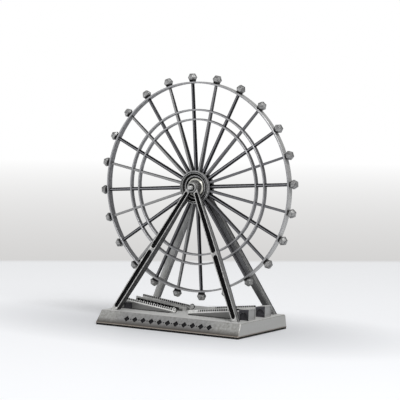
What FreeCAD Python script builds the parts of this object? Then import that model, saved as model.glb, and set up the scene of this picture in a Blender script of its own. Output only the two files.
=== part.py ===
import FreeCAD, Part
import math
import os
import Sketcher
from FreeCAD import Placement, Rotation, Vector

# A desk ornament of a big observation wheel, cast in zinc alloy and plated as old pewter.
# A plinth with four boarding ramps carries two A-frames; the wheel spins on an axle between them.
# X runs along the plinth, -Y is the front with the engraved band, +Z is up. The origin is the
# middle of the footprint, on the table. Millimetres and degrees throughout.

doc = FreeCAD.newDocument("observation_wheel")

DIMENSIONS = [
    # plinth and pad
    ("base_length", 97.0), ("base_width", 59.0), ("pad_thickness", 1.2), ("pad_inset", 0.4),
    ("plinth_height", 7.3), ("front_setback", 4.8), ("rear_setback", 0.2), ("side_setback", 1.0),
    ("plinth_rounding", 0.9), ("deck_thickness", 2.2), ("wall_thickness", 2.2),
    ("boss_column_radius", 3.0), ("boss_column_drop", 2.2),
    ("track_groove_length", 7.2), ("track_groove_width", 0.8), ("track_groove_depth", 0.5),
    ("lozenge_radius", 2.0), ("lozenge_pitch", 5.6), ("engraving_depth", 0.5), ("pearl_radius", 0.45),
    # wheel
    ("wheel_plane", 2.8), ("hub_height", 82.6), ("park_angle", 4.4),
    ("rim_radius", 62.2), ("rim_thickness", 1.0), ("rim_width", 4.7),
    ("middle_ring_radius", 46.1), ("inner_ring_radius", 40.5), ("ring_thickness", 1.0),
    ("ring_width", 3.2), ("band_chamfer", 0.2),
    ("rod_hub_radius", 1.2), ("rod_rim_radius", 1.0),
    ("slat_width", 1.3), ("slat_hub_depth", 3.5), ("slat_rim_depth", 1.4), ("spoke_joint", 0.03),
    ("capsule_radius", 64.6), ("capsule_girth", 2.75), ("capsule_face", 1.55),
    ("capsule_length", 4.8), ("capsule_belt", 1.6),
    ("cup_root_span", 2.6), ("cup_root_depth", 2.4), ("cup_lip_span", 3.2), ("cup_lip_depth", 3.0),
    ("cup_sink", 0.2), ("cup_lip", 63.0),
    # hub and axle
    ("axle_radius", 1.25), ("axle_reach", 8.8), ("axle_dome", 0.7), ("running_clearance", 0.05),
    ("barrel_radius", 8.6), ("barrel_half", 1.75),
    ("flange_radius", 9.8), ("flange_lip", 1.5), ("flange_plate", 0.45), ("flange_front", 3.6),
    ("flange_easing", 0.25),
    ("hub_button_radius", 5.3), ("hub_button_front", 2.5), ("hub_dish_radius", 4.4), ("hub_dish_depth", 0.35),
    ("spacer_gap", 0.1), ("spacer_hub_radius", 3.9), ("spacer_boss_radius", 2.9),
    # A-frames
    ("boss_radius", 3.1), ("boss_front", 7.0), ("boss_rear", 4.1),
    ("boss_sink_radius", 2.15), ("boss_sink_depth", 0.6),
    ("leg_top_spread", 1.5), ("leg_top_plane", 5.94), ("leg_foot_spread", 41.3), ("leg_foot_plane", 23.9),
    ("leg_top_width", 2.9), ("leg_top_depth", 1.75), ("leg_waist_width", 3.9), ("leg_waist_depth", 4.6),
    ("leg_foot_width", 3.4), ("leg_foot_depth", 3.7),
    ("slot_depth", 1.3), ("slot_top_radius", 1.0), ("slot_waist_radius", 1.4), ("slot_foot_radius", 1.2),
    ("slot_bridge", 1.7), ("slot_start", 2.1), ("slot_finish", 3.2),
    ("spigot_radius", 1.4), ("spigot_length", 5.0), ("spigot_joint", 0.6), ("hub_room", 1.5),
    ("screw_head_radius", 2.0), ("screw_head_height", 1.0), ("screw_radius", 0.75), ("screw_grip", 3.2),
    ("screw_joint", 0.2),
    # boarding ramps: each one's front face, width along Y, low tip and high end out from the middle
    ("front_left_face", -11.9), ("front_left_width", 8.2),
    ("front_left_tip", 7.9), ("front_left_end", 43.5),
    ("front_right_face", -11.9), ("front_right_width", 8.2),
    ("front_right_tip", 4.8), ("front_right_end", 45.2),
    ("rear_left_face", 1.2), ("rear_left_width", 8.2), ("rear_left_tip", 7.0), ("rear_left_end", 39.8),
    ("rear_right_face", 7.6), ("rear_right_width", 7.6), ("rear_right_tip", 7.0), ("rear_right_end", 45.2),
    ("ramp_low", 0.35), ("ramp_rise", 0.1184), ("ramp_wall", 1.0), ("ramp_sink", 0.5),
    ("block_start", 38.8), ("block_height", 1.0),
    ("kerb_start", 4.7), ("kerb_height", 1.3), ("kerb_front", 1.2),
    ("recess_start", 9.5), ("recess_margin", 1.0), ("recess_depth", 0.7), ("recess_sill", 0.5),
    ("door_width", 5.6), ("door_sill", 0.2), ("square_door_start", 34.2), ("square_door_height", 3.7),
    ("round_door_start", 39.2), ("round_door_height", 4.6),
    ("peg_radius", 1.0), ("peg_length", 1.8), ("peg_inset", 6.5), ("peg_joint", 0.4),
    # rails: where each starts and ends, and how far its plain part reaches before the first bead
    ("front_left_rail", 6.0), ("front_left_rail_end", 43.5), ("front_left_plain", 7.0),
    ("front_right_rail", 4.8), ("front_right_rail_end", 38.8), ("front_right_plain", 11.5),
    ("rear_left_rail", 6.2), ("rear_left_rail_end", 39.8), ("rear_left_plain", 7.0),
    ("rear_right_rail", 7.0), ("rear_right_rail_end", 38.8), ("rear_right_plain", 11.8),
    ("rail_thickness", 0.8), ("rail_height", 1.6), ("tooth_pitch", 1.45), ("tooth_gap", 0.6),
    ("tooth_height", 1.0), ("scroll_radius", 1.7), ("scroll_eye", 0.75), ("scroll_place", 4.9),
    ("scroll_lift", 2.1),
    # how far a cutting tool runs on past the face it opens, and past everything in its way
    ("overcut", 1.0), ("right_through", 20.0),
]

SPOKE_PAIRS = 12
CAPSULES = 24
LOZENGES = 11

sizes = doc.addObject("Spreadsheet::Sheet", "sizes")
for row, (alias, value) in enumerate(DIMENSIONS, start=1):
    sizes.set(f"A{row}", alias)
    sizes.set(f"B{row}", str(value))
    sizes.setAlias(f"B{row}", alias)
doc.recompute()


def mm(alias):
    """One driving dimension, as a number."""
    return float(getattr(sizes, alias))


def add(kind, name, turn=None, at=None, **bound):
    """A document object: text values are bound as expressions, others are set as they are."""
    thing = doc.addObject(kind, name)
    if turn:
        thing.Placement = Placement(Vector(), turn)
    for axis, expression in zip("xyz", at or ()):
        if expression:
            thing.setExpression(f"Placement.Base.{axis}", expression)
    for prop, value in bound.items():
        if isinstance(value, str):
            thing.setExpression(prop, value)
        else:
            setattr(thing, prop, value)
    return thing


def fuse(name, *parts):
    """One solid out of several parts; a single part is handed back as it is."""
    return parts[0] if len(parts) == 1 else add("Part::MultiFuse", name, Shapes=list(parts))


def cut(name, base, *tools):
    return add("Part::Cut", name, Base=base, Tool=fuse(f"{name}_tools", *tools))


def group(name, *parts):
    """Separate solids kept side by side in one object."""
    return add("Part::Compound", name, Links=list(parts))


ALONG_Y = Rotation(Vector(1, 0, 0), -90)      # a primitive's own Z axis laid along +Y
ALONG_X = Rotation(Vector(0, 1, 0), 90)       # a primitive's own Z axis laid along +X
UPRIGHT_WEDGE = Rotation(Vector(1, 0, 0), 90)  # a wedge's own Y axis stood up along +Z
DECK = "sizes.pad_thickness + sizes.plinth_height"
DECK_Z = mm("pad_thickness") + mm("plinth_height")
HUB = Vector(0, mm("wheel_plane"), mm("hub_height"))
RAMPS = {"front_left": -1, "front_right": 1, "rear_left": -1, "rear_right": 1}   # which way each climbs
nodes = []


def keep(thing, label):
    """Names a finished sub-part; its label is the name of its file."""
    thing.Label = label
    nodes.append(thing)
    return thing


# --- base_pad: the thin soft sheet under the plinth -----------------------------------------
keep(add("Part::Box", "base_pad",
         at=("sizes.pad_inset - sizes.base_length / 2", "sizes.pad_inset - sizes.base_width / 2", None),
         Length="sizes.base_length - 2 * sizes.pad_inset",
         Width="sizes.base_width - 2 * sizes.pad_inset",
         Height="sizes.pad_thickness"), "base_pad")


# --- base_plinth: a hollow casting with a sloping front, screw columns and an engraved band --
block = add("Part::Wedge", "plinth_block", turn=UPRIGHT_WEDGE, at=(None, None, "sizes.pad_thickness"),
            Ymin=0.0, Ymax="sizes.plinth_height",
            Xmin="-sizes.base_length / 2", Xmax="sizes.base_length / 2",
            Zmin="-sizes.base_width / 2", Zmax="sizes.base_width / 2",
            X2min="sizes.side_setback - sizes.base_length / 2",
            X2max="sizes.base_length / 2 - sizes.side_setback",
            Z2min="sizes.rear_setback - sizes.base_width / 2",
            Z2max="sizes.base_width / 2 - sizes.front_setback")
hollow = add("Part::Wedge", "plinth_hollow", turn=UPRIGHT_WEDGE, at=(None, None, "sizes.pad_thickness"),
             Ymin=0.0, Ymax="sizes.plinth_height - sizes.deck_thickness",
             Xmin="sizes.wall_thickness - sizes.base_length / 2",
             Xmax="sizes.base_length / 2 - sizes.wall_thickness",
             Zmin="sizes.wall_thickness - sizes.base_width / 2",
             Zmax="sizes.base_width / 2 - sizes.wall_thickness",
             X2min="sizes.wall_thickness + sizes.side_setback - sizes.base_length / 2",
             X2max="sizes.base_length / 2 - sizes.wall_thickness - sizes.side_setback",
             Z2min="sizes.wall_thickness + sizes.rear_setback - sizes.base_width / 2",
             Z2max="sizes.base_width / 2 - sizes.wall_thickness - sizes.front_setback")
doc.recompute()
rounded = add("Part::Fillet", "plinth_rounded", Base=block)
rounding = mm("plinth_rounding")
rounded.Edges = [(index, rounding, rounding) for index, edge in enumerate(block.Shape.Edges, start=1)
                 if edge.BoundBox.ZMax > mm("pad_thickness") + rounding]
shell = cut("plinth_shell", rounded, hollow)

# A leg foot's centre on the deck, half a foot's depth behind the leg's face.
lean = math.atan2(mm("leg_foot_plane") - mm("leg_top_plane"), mm("hub_height") - DECK_Z)
FOOT_Y = f"(sizes.leg_foot_plane - sizes.leg_foot_depth / 2 / {math.cos(lean):.4f})"
feet = [(side, facing) for facing in (-1, 1) for side in (-1, 1)]
columns, bores = [], []
for number, (side, facing) in enumerate(feet):
    spot = (f"{side} * sizes.leg_foot_spread", f"sizes.wheel_plane + {facing} * {FOOT_Y}",
            "sizes.pad_thickness + sizes.boss_column_drop")
    columns.append(add("Part::Cylinder", f"screw_column_{number}", at=spot,
                       Radius="sizes.boss_column_radius",
                       Height="sizes.plinth_height - sizes.boss_column_drop - sizes.deck_thickness / 2"))
    bores.append(add("Part::Cylinder", f"spigot_bore_{number}", at=spot,
                     Radius="sizes.spigot_radius", Height="sizes.plinth_height"))


def peg_places(tag, side):
    """Where a ramp's two pegs stand: one a little in from its tip, one as far in from its end."""
    middle = f"sizes.{tag}_face + sizes.{tag}_width / 2"
    return [(f"{side} * (sizes.{tag}_tip + sizes.peg_inset)", middle, f"{DECK} - sizes.peg_length"),
            (f"{side} * (sizes.{tag}_end - sizes.peg_inset)", middle, f"{DECK} - sizes.peg_length")]


for tag, side in RAMPS.items():
    for number, place in enumerate(peg_places(tag, side)):
        bores.append(add("Part::Cylinder", f"peg_bore_{tag}_{number}", at=place,
                         Radius="sizes.peg_radius", Height="sizes.peg_length + sizes.overcut"))

groove = add("Part::Box", "track_groove",
             at=("-sizes.track_groove_length / 2", "sizes.wheel_plane - sizes.track_groove_width / 2",
                 f"{DECK} - sizes.track_groove_depth"),
             Length="sizes.track_groove_length", Width="sizes.track_groove_width",
             Height="sizes.track_groove_depth + sizes.overcut")

# The band is a row of lozenges with a pearl between each pair, sunk into the sloping front.
front_angle = math.degrees(math.atan2(mm("front_setback"), mm("plinth_height")))
into_front = Rotation(Vector(1, 0, 0), 90 - front_angle)
inwards = math.cos(math.radians(front_angle))
downwards = math.sin(math.radians(front_angle))
band_y = f"sizes.front_setback / 2 - sizes.base_width / 2 + sizes.engraving_depth * {inwards:.4f}"
band_z = f"sizes.pad_thickness + sizes.plinth_height / 2 - sizes.engraving_depth * {downwards:.4f}"
stamps = []
for number in range(2 * LOZENGES - 1):
    steps = (number - (LOZENGES - 1)) / 2
    spot = (f"{steps} * sizes.lozenge_pitch", band_y, band_z)
    if number % 2:
        stamps.append(add("Part::Cylinder", f"pearl_{number}", turn=into_front, at=spot,
                          Radius="sizes.pearl_radius", Height="sizes.engraving_depth + sizes.overcut"))
    else:
        stamps.append(add("Part::Prism", f"lozenge_{number}", turn=into_front, at=spot,
                          Polygon=4, Circumradius="sizes.lozenge_radius",
                          Height="sizes.engraving_depth + sizes.overcut"))

keep(cut("base_plinth", fuse("plinth_with_columns", shell, *columns), groove, *bores, *stamps),
     "base_plinth")


# --- boarding ramps: wedges with a trough between two walls, and a door or a band in the front --
def along(side, low, high):
    """Lower corner, along X, of a span that lies from low to high out from the middle."""
    return low if side > 0 else f"-({high})"


def slope(low, high, more="0"):
    """Heights over the deck at two distances from the middle, on a line over the ramps' slope."""
    return [f"sizes.ramp_low + sizes.ramp_rise * ({place}) + {more}" for place in (low, high)]


def sloping_wedge(name, side, low, high, front, back, bottoms, tops):
    """A wedge that runs outwards from low to high along X, with its own heights at each end."""
    left, right = (f"-({back})", f"-({front})") if side > 0 else (front, back)
    return add("Part::Wedge", name, turn=Rotation(Vector(0, 0, 1), -90 * side), at=(None, None, DECK),
               Ymin=low, Ymax=high, Xmin=left, X2min=left, Xmax=right, X2max=right,
               Zmin=bottoms[0], Z2min=bottoms[1], Zmax=tops[0], Z2max=tops[1])


def door(tag, side, start, round_top):
    """The tools that sink a doorway into the front wall, its top square or half round."""
    height = "sizes.round_door_height - sizes.door_width / 2" if round_top else "sizes.square_door_height"
    foot = f"{DECK} + sizes.door_sill"
    face = f"sizes.{tag}_face - sizes.overcut"
    corner = along(side, start, f"{start} + sizes.door_width")
    tools = [add("Part::Box", f"{tag}_door", at=(corner, face, foot),
                 Length="sizes.door_width", Width="sizes.recess_depth + sizes.overcut", Height=height)]
    if round_top:
        tools.append(add("Part::Cylinder", f"{tag}_door_arch", turn=ALONG_Y,
                         at=(f"{side} * ({start} + sizes.door_width / 2)", face, f"{foot} + {height}"),
                         Radius="sizes.door_width / 2",
                         Height="sizes.recess_depth + sizes.overcut"))
    return tools


def ramp(tag, side):
    tip, end, face = f"sizes.{tag}_tip", f"sizes.{tag}_end", f"sizes.{tag}_face"
    back = f"sizes.{tag}_face + sizes.{tag}_width"
    level = ("0", "0")
    parts = [sloping_wedge(f"{tag}_wedge", side, tip, end, face, back, level, slope(tip, end))]
    tools = []
    trough_end = f"{end} - sizes.ramp_wall"
    if side > 0:
        # a smooth block closes the high end, with a round-topped door in its front
        trough_end = "sizes.block_start"
        parts.append(sloping_wedge(f"{tag}_block", side, "sizes.block_start", end, face, back, level,
                                   slope("sizes.block_start", end, "sizes.block_height")))
        tools += door(tag, side, "sizes.round_door_start", round_top=True)
    elif tag == "front_left":
        tools += door(tag, side, "sizes.square_door_start", round_top=False)
    else:
        # a plain kerb stands on the front wall and runs on past the tip, over a long sunk band
        parts.append(sloping_wedge(f"{tag}_kerb", side, "sizes.kerb_start", end, face,
                                   f"{face} + sizes.ramp_wall", level,
                                   slope("sizes.kerb_start", end, "sizes.kerb_height")))
        recess_end = f"{end} - sizes.recess_margin"
        tools.append(sloping_wedge(f"{tag}_recess", side, "sizes.recess_start", recess_end,
                                   f"{face} - sizes.overcut", f"{face} + sizes.recess_depth",
                                   ("sizes.recess_sill", "sizes.recess_sill"),
                                   slope("sizes.recess_start", recess_end,
                                         "sizes.kerb_height - sizes.kerb_front")))
    trough_start = f"{tip} - sizes.overcut"
    trough = sloping_wedge(f"{tag}_trough", side, trough_start, trough_end,
                           f"{face} + sizes.ramp_wall", f"{back} - sizes.ramp_wall",
                           slope(trough_start, trough_end, "-sizes.ramp_sink"),
                           slope(trough_start, trough_end, "sizes.overcut"))
    pegs = [add("Part::Cylinder", f"{tag}_peg_{number}", at=place, Radius="sizes.peg_radius",
                Height="sizes.peg_length + sizes.peg_joint")
            for number, place in enumerate(peg_places(tag, side))]
    keep(fuse(f"ramp_{tag}", cut(f"{tag}_shaped", fuse(f"{tag}_solid", *parts), trough, *tools), *pegs),
         f"ramp_{tag}")


for tag, side in RAMPS.items():
    ramp(tag, side)


# --- rails: a toothed strip along one wall of each ramp, the left ones ending in a scroll -----
SLOPE = math.atan(mm("ramp_rise"))
NUDGE = "0.01"          # a sketch takes no distance of zero from its origin


def rail(tag, side):
    label = f"rail_{tag}"
    body = doc.addObject("PartDesign::Body", f"{label}_strip")
    plane = next(part for part in body.Origin.OriginFeatures if part.Role == "XZ_Plane")

    def sketch(name):
        made = body.newObject("Sketcher::SketchObject", f"{label}_{name}")
        made.AttachmentSupport = [(plane, "")]
        made.MapMode = "FlatFace"
        return made

    def rectangle(made, left, bottom, width, height):
        """A rectangle whose four measures are bound to expressions."""
        corners = [Vector(1, 1, 0), Vector(2, 1, 0), Vector(2, 2, 0), Vector(1, 2, 0)]
        for first in range(4):
            made.addGeometry(Part.LineSegment(corners[first], corners[(first + 1) % 4]), False)
        for first in range(4):
            made.addConstraint(Sketcher.Constraint("Coincident", first, 2, (first + 1) % 4, 1))
        for line, way in ((0, "Horizontal"), (2, "Horizontal"), (1, "Vertical"), (3, "Vertical")):
            made.addConstraint(Sketcher.Constraint(way, line))
        for kind, (first, point), value, expression in (
                ("DistanceX", (0, 1), 1, left), ("DistanceY", (0, 1), 1, bottom)):
            made.addConstraint(Sketcher.Constraint(kind, -1, 1, first, point, value))
            made.setExpression(f"Constraints[{made.ConstraintCount - 1}]", expression)
        for kind, line, expression in (("DistanceX", 0, width), ("DistanceY", 1, height)):
            made.addConstraint(Sketcher.Constraint(kind, line, 1, line, 2, 1))
            made.setExpression(f"Constraints[{made.ConstraintCount - 1}]", expression)

    lengthwise = f"/ {math.cos(SLOPE):.5f}"
    strip = sketch("outline")
    rectangle(strip, NUDGE, NUDGE, f"(sizes.{tag}_rail_end - sizes.{tag}_rail) {lengthwise}",
              "sizes.rail_height")
    pad = body.newObject("PartDesign::Pad", f"{label}_pad")
    pad.Profile = strip
    pad.setExpression("Length", "sizes.rail_thickness")
    doc.recompute()
    notch = sketch("gap")
    rectangle(notch, f"(sizes.{tag}_plain - sizes.{tag}_rail) {lengthwise}",
              f"sizes.rail_height - sizes.tooth_height + {NUDGE}", "sizes.tooth_gap",
              "sizes.tooth_height + sizes.overcut")
    pocket = body.newObject("PartDesign::Pocket", f"{label}_first_gap")
    pocket.Profile = notch
    pocket.Type = "ThroughAll"
    pocket.Midplane = True
    doc.recompute()
    toothed = (mm(f"{tag}_rail_end") - mm(f"{tag}_plain")) / math.cos(SLOPE)
    gaps = int(toothed / mm("tooth_pitch"))
    pattern = body.newObject("PartDesign::LinearPattern", f"{label}_gaps")
    pattern.Originals = [pocket]
    pattern.Direction = (notch, ["H_Axis"])
    pattern.setExpression("Length", f"{gaps - 1} * sizes.tooth_pitch")
    pattern.Occurrences = gaps
    body.Tip = pattern
    # the strip stands on the sloping top of the front wall, or of the back wall where a kerb is in front
    edge = mm(f"{tag}_face")
    front = f"sizes.{tag}_face"
    if tag == "rear_left":
        edge += mm(f"{tag}_width") - mm("rail_thickness")
        front += f" + sizes.{tag}_width - sizes.rail_thickness"
    start = mm(f"{tag}_rail")
    foot_z = DECK_Z + mm("ramp_low") + mm("ramp_rise") * start
    uphill = Rotation(Vector(0, 1, 0), -math.degrees(SLOPE))
    if side > 0:
        # the pad grows to the front, so it is drawn from its back face
        body.Placement = Placement(Vector(start, edge + mm("rail_thickness"), foot_z), uphill)
    else:
        half_turn = Rotation(Vector(0, 0, 1), 180)
        body.Placement = Placement(Vector(-start, edge, foot_z), half_turn.multiply(uphill))
    doc.recompute()
    if side > 0:
        return keep(body, label)
    centre_x = f"{side} * sizes.scroll_place"
    centre_z = f"{DECK} + sizes.scroll_lift"
    ring = add("Part::Cylinder", f"{label}_ring", turn=ALONG_Y, at=(centre_x, front, centre_z),
               Radius="sizes.scroll_radius", Height="sizes.rail_thickness")
    eye = add("Part::Cylinder", f"{label}_eye", turn=ALONG_Y,
              at=(centre_x, f"{front} - sizes.overcut", centre_z),
              Radius="sizes.scroll_eye", Height="sizes.rail_thickness + 2 * sizes.overcut")
    return keep(cut(label, fuse(f"{label}_curled", body, ring), eye), label)


for tag, side in RAMPS.items():
    rail(tag, side)


# --- A-frames: two waisted legs with slotted faces, a boss for the axle and spigots below ----
def leg(name, side, facing):
    """One leg: foot at its own origin, growing along Z, slotted face on its own XZ plane."""
    foot = Vector(side * mm("leg_foot_spread"), facing * mm("leg_foot_plane"), DECK_Z)
    top = Vector(side * mm("leg_top_spread"), facing * mm("leg_top_plane"), mm("hub_height"))
    run = top - foot
    length = run.Length
    body = doc.addObject("PartDesign::Body", name)
    planes = {part.Role: part for part in body.Origin.OriginFeatures}

    def section(tag, height, width, thick):
        made = body.newObject("Sketcher::SketchObject", f"{name}_{tag}")
        made.AttachmentSupport = [(planes["XY_Plane"], "")]
        made.MapMode = "FlatFace"
        made.AttachmentOffset = Placement(Vector(0, 0, height), Rotation())
        corners = [Vector(-1, 0, 0), Vector(1, 0, 0), Vector(1, 1, 0), Vector(-1, 1, 0)]
        for first in range(4):
            made.addGeometry(Part.LineSegment(corners[first], corners[(first + 1) % 4]), False)
        for first in range(4):
            made.addConstraint(Sketcher.Constraint("Coincident", first, 2, (first + 1) % 4, 1))
        made.addConstraint(Sketcher.Constraint("Vertical", 1))
        made.addConstraint(Sketcher.Constraint("Horizontal", 2))
        made.addConstraint(Sketcher.Constraint("Vertical", 3))
        made.addConstraint(Sketcher.Constraint("Symmetric", 0, 1, 0, 2, -1, 1))
        made.addConstraint(Sketcher.Constraint("DistanceX", 0, 1, 0, 2, 2))
        made.setExpression(f"Constraints[{made.ConstraintCount - 1}]", f"sizes.{width}")
        made.addConstraint(Sketcher.Constraint("DistanceY", 1, 1, 1, 2, 1))
        made.setExpression(f"Constraints[{made.ConstraintCount - 1}]", f"sizes.{thick}")
        return made

    spare = 3.0
    sections = [section("foot", -spare, "leg_foot_width", "leg_foot_depth"),
                section("waist", length / 2, "leg_waist_width", "leg_waist_depth"),
                section("top", length, "leg_top_width", "leg_top_depth")]
    doc.recompute()
    loft = body.newObject("PartDesign::AdditiveLoft", f"{name}_loft")
    loft.Profile = sections[0]
    loft.Sections = sections[1:]
    doc.recompute()

    def slot(tag, low, low_radius, high, high_radius):
        """A long slot with round ends of two radii, sunk into the leg's face."""
        made = body.newObject("Sketcher::SketchObject", f"{name}_{tag}")
        made.AttachmentSupport = [(planes["XZ_Plane"], "")]
        made.MapMode = "FlatFace"
        small, large = mm(low_radius), mm(high_radius)
        start = low + small
        finish = high - large
        tilt = math.asin((small - large) / (finish - start))
        wide, up = math.cos(tilt), math.sin(tilt)
        lower = Part.ArcOfCircle(Part.Circle(Vector(0, start, 0), Vector(0, 0, 1), small),
                                 math.pi - tilt, 2 * math.pi + tilt)
        upper = Part.ArcOfCircle(Part.Circle(Vector(0, finish, 0), Vector(0, 0, 1), large),
                                 tilt, math.pi - tilt)
        right = Part.LineSegment(Vector(small * wide, start + small * up, 0),
                                 Vector(large * wide, finish + large * up, 0))
        left = Part.LineSegment(Vector(-large * wide, finish + large * up, 0),
                                Vector(-small * wide, start + small * up, 0))
        for shape in (lower, right, upper, left):
            made.addGeometry(shape, False)
        for first, second in ((0, 1), (1, 2), (2, 3), (3, 0)):
            made.addConstraint(Sketcher.Constraint("Tangent", first, 2, second, 1))
        made.addConstraint(Sketcher.Constraint("PointOnObject", 0, 3, -2))
        made.addConstraint(Sketcher.Constraint("PointOnObject", 2, 3, -2))
        for arc, place, radius in ((0, start, low_radius), (2, finish, high_radius)):
            made.addConstraint(Sketcher.Constraint("DistanceY", -1, 1, arc, 3, place))
            made.addConstraint(Sketcher.Constraint("Radius", arc, mm(radius)))
            made.setExpression(f"Constraints[{made.ConstraintCount - 1}]", f"sizes.{radius}")
        doc.recompute()
        before = body.Shape.Volume
        pocket = body.newObject("PartDesign::Pocket", f"{name}_{tag}_pocket")
        pocket.Profile = made
        pocket.setExpression("Length", "sizes.slot_depth")
        doc.recompute()
        if body.Shape.Volume > before - 1:
            raise ValueError(f"{name}: the {tag} cut nothing")

    half_bridge = mm("slot_bridge") / 2
    slot("lower_slot", mm("slot_start"), "slot_foot_radius", length / 2 - half_bridge, "slot_waist_radius")
    slot("upper_slot", length / 2 + half_bridge, "slot_waist_radius",
         length - mm("slot_finish"), "slot_top_radius")

    # The face lies in a plane that holds the X axis and leans in to the hub.
    up_slope = Vector(0, run.y, run.z).normalize()
    inward = Vector(0, -facing * up_slope.z, facing * up_slope.y)
    along = Vector(run).normalize()
    across = inward.cross(along)
    body.Placement = Placement(foot + Vector(0, mm("wheel_plane"), 0), Rotation(across, inward, along, "ZYX"))
    return body


def frame(label, facing):
    legs = fuse(f"{label}_legs", *(leg(f"{label}_leg_{tag}", side, facing)
                                   for side, tag in ((-1, "left"), (1, "right"))))
    below = add("Part::Box", f"{label}_below_deck",
                at=("-sizes.base_length", "-sizes.base_width", f"{DECK} - sizes.right_through"),
                Length="2 * sizes.base_length", Width="2 * sizes.base_width",
                Height="sizes.right_through")
    boss = add("Part::Cylinder", f"{label}_boss", turn=ALONG_Y,
               at=(None, "sizes.wheel_plane + " + ("sizes.boss_rear" if facing > 0 else "-sizes.boss_front"),
                   "sizes.hub_height"),
               Radius="sizes.boss_radius", Height="sizes.boss_front - sizes.boss_rear")
    spigots = [add("Part::Cylinder", f"{label}_spigot_{tag}",
                   at=(f"{side} * sizes.leg_foot_spread", f"sizes.wheel_plane + {facing} * {FOOT_Y}",
                       f"{DECK} - sizes.spigot_length"),
                   Radius="sizes.spigot_radius", Height="sizes.spigot_length + sizes.spigot_joint")
               for side, tag in ((-1, "left"), (1, "right"))]
    bore = add("Part::Cylinder", f"{label}_axle_bore", turn=ALONG_Y,
               at=(None, "sizes.wheel_plane + " + ("0" if facing > 0 else "-sizes.right_through"),
                   "sizes.hub_height"),
               Radius="sizes.axle_radius", Height="sizes.right_through")
    sink = add("Part::Cylinder", f"{label}_boss_sink", turn=ALONG_Y,
               at=(None, "sizes.wheel_plane + " + ("sizes.boss_front - sizes.boss_sink_depth" if facing > 0
                                                   else "-sizes.boss_front - sizes.overcut"),
                   "sizes.hub_height"),
               Radius="sizes.boss_sink_radius", Height="sizes.boss_sink_depth + sizes.overcut")
    behind = add("Part::Cylinder", f"{label}_hub_room", turn=ALONG_Y,
                 at=(None, "sizes.wheel_plane + " + ("0" if facing > 0 else "-sizes.boss_rear"),
                     "sizes.hub_height"),
                 Radius="sizes.flange_radius + sizes.hub_room", Height="sizes.boss_rear")
    pilots = [add("Part::Cylinder", f"{label}_pilot_{tag}",
                  at=(f"{side} * sizes.leg_foot_spread", f"sizes.wheel_plane + {facing} * {FOOT_Y}",
                      f"{DECK} - sizes.spigot_length"),
                  Radius="sizes.screw_radius", Height="sizes.screw_grip")
              for side, tag in ((-1, "left"), (1, "right"))]
    standing = cut(f"{label}_standing", legs, below)
    keep(cut(label, fuse(f"{label}_cast", standing, boss, *spigots), bore, sink, behind, *pilots), label)


frame("front_frame", -1)
frame("rear_frame", 1)


# --- frame_screws: four pan-head screws that hold the spigots from inside the plinth ---------
screws = []
for number, (side, facing) in enumerate(feet):
    x = f"{side} * sizes.leg_foot_spread"
    y = f"sizes.wheel_plane + {facing} * {FOOT_Y}"
    seat = "sizes.pad_thickness + sizes.boss_column_drop"
    head = add("Part::Cylinder", f"screw_head_{number}", at=(x, y, f"{seat} - sizes.screw_head_height"),
               Radius="sizes.screw_head_radius", Height="sizes.screw_head_height")
    shank = add("Part::Cylinder", f"screw_shank_{number}", at=(x, y, f"{seat} - sizes.screw_joint"),
                Radius="sizes.screw_radius", Height="sizes.screw_grip + sizes.screw_joint")
    screws.append(fuse(f"screw_{number}", head, shank))
keep(group("frame_screws", *screws), "frame_screws")


# --- axle and its spacers: a steel pin pressed into both bosses, a cone each side of the hub --
shaft = add("Part::Cylinder", "axle_shaft", turn=ALONG_Y,
            at=(None, "sizes.wheel_plane - sizes.axle_reach", "sizes.hub_height"),
            Radius="sizes.axle_radius", Height="2 * sizes.axle_reach")
domes = [add("Part::Ellipsoid", f"axle_dome_{number}", turn=ALONG_Y,
             at=(None, f"sizes.wheel_plane + {facing} * sizes.axle_reach", "sizes.hub_height"),
             Radius1="sizes.axle_dome", Radius2="sizes.axle_radius", Radius3="sizes.axle_radius",
             Angle1=-90.0, Angle2=90.0, Angle3=360.0)
         for number, facing in enumerate((-1, 1))]
keep(fuse("axle", shaft, *domes), "axle")

SPACER_LENGTH = "sizes.boss_rear - sizes.hub_button_front - sizes.spacer_gap"
for facing, label in ((-1, "front_spacer"), (1, "rear_spacer")):
    turn = Rotation(Vector(1, 0, 0), -90 * facing)
    cone = add("Part::Cone", f"{label}_cone", turn=turn,
               at=(None, f"sizes.wheel_plane + {facing} * (sizes.hub_button_front + sizes.spacer_gap)",
                   "sizes.hub_height"),
               Radius1="sizes.spacer_hub_radius", Radius2="sizes.spacer_boss_radius", Height=SPACER_LENGTH)
    hole = add("Part::Cylinder", f"{label}_hole", turn=turn,
               at=(None, "sizes.wheel_plane", "sizes.hub_height"), Radius="sizes.axle_radius",
               Height="sizes.right_through")
    keep(cut(label, cone, hole), label)


# --- hub: a barrel that runs on the axle, with a lipped flange on each side -------------------
def across(name, radius, low, high):
    """A disc about the wheel's axis from low to high along Y, counted from the wheel's plane."""
    return add("Part::Cylinder", name, turn=ALONG_Y,
               at=(None, f"sizes.wheel_plane + {low}", "sizes.hub_height"),
               Radius=radius, Height=f"{high} - ({low})")


def hub_bore(name):
    return across(name, "sizes.axle_radius + sizes.running_clearance", "-sizes.right_through",
                  "sizes.right_through")


drum = across("barrel_drum", "sizes.barrel_radius", "-sizes.barrel_half", "sizes.barrel_half")
keep(cut("hub_barrel", drum, hub_bore("barrel_bore")), "hub_barrel")


def outward(facing, low, high):
    """The two ends along Y of a layer that lies from low to high out from the wheel's plane."""
    return (low, high) if facing > 0 else (f"-({high})", f"-({low})")


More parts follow.
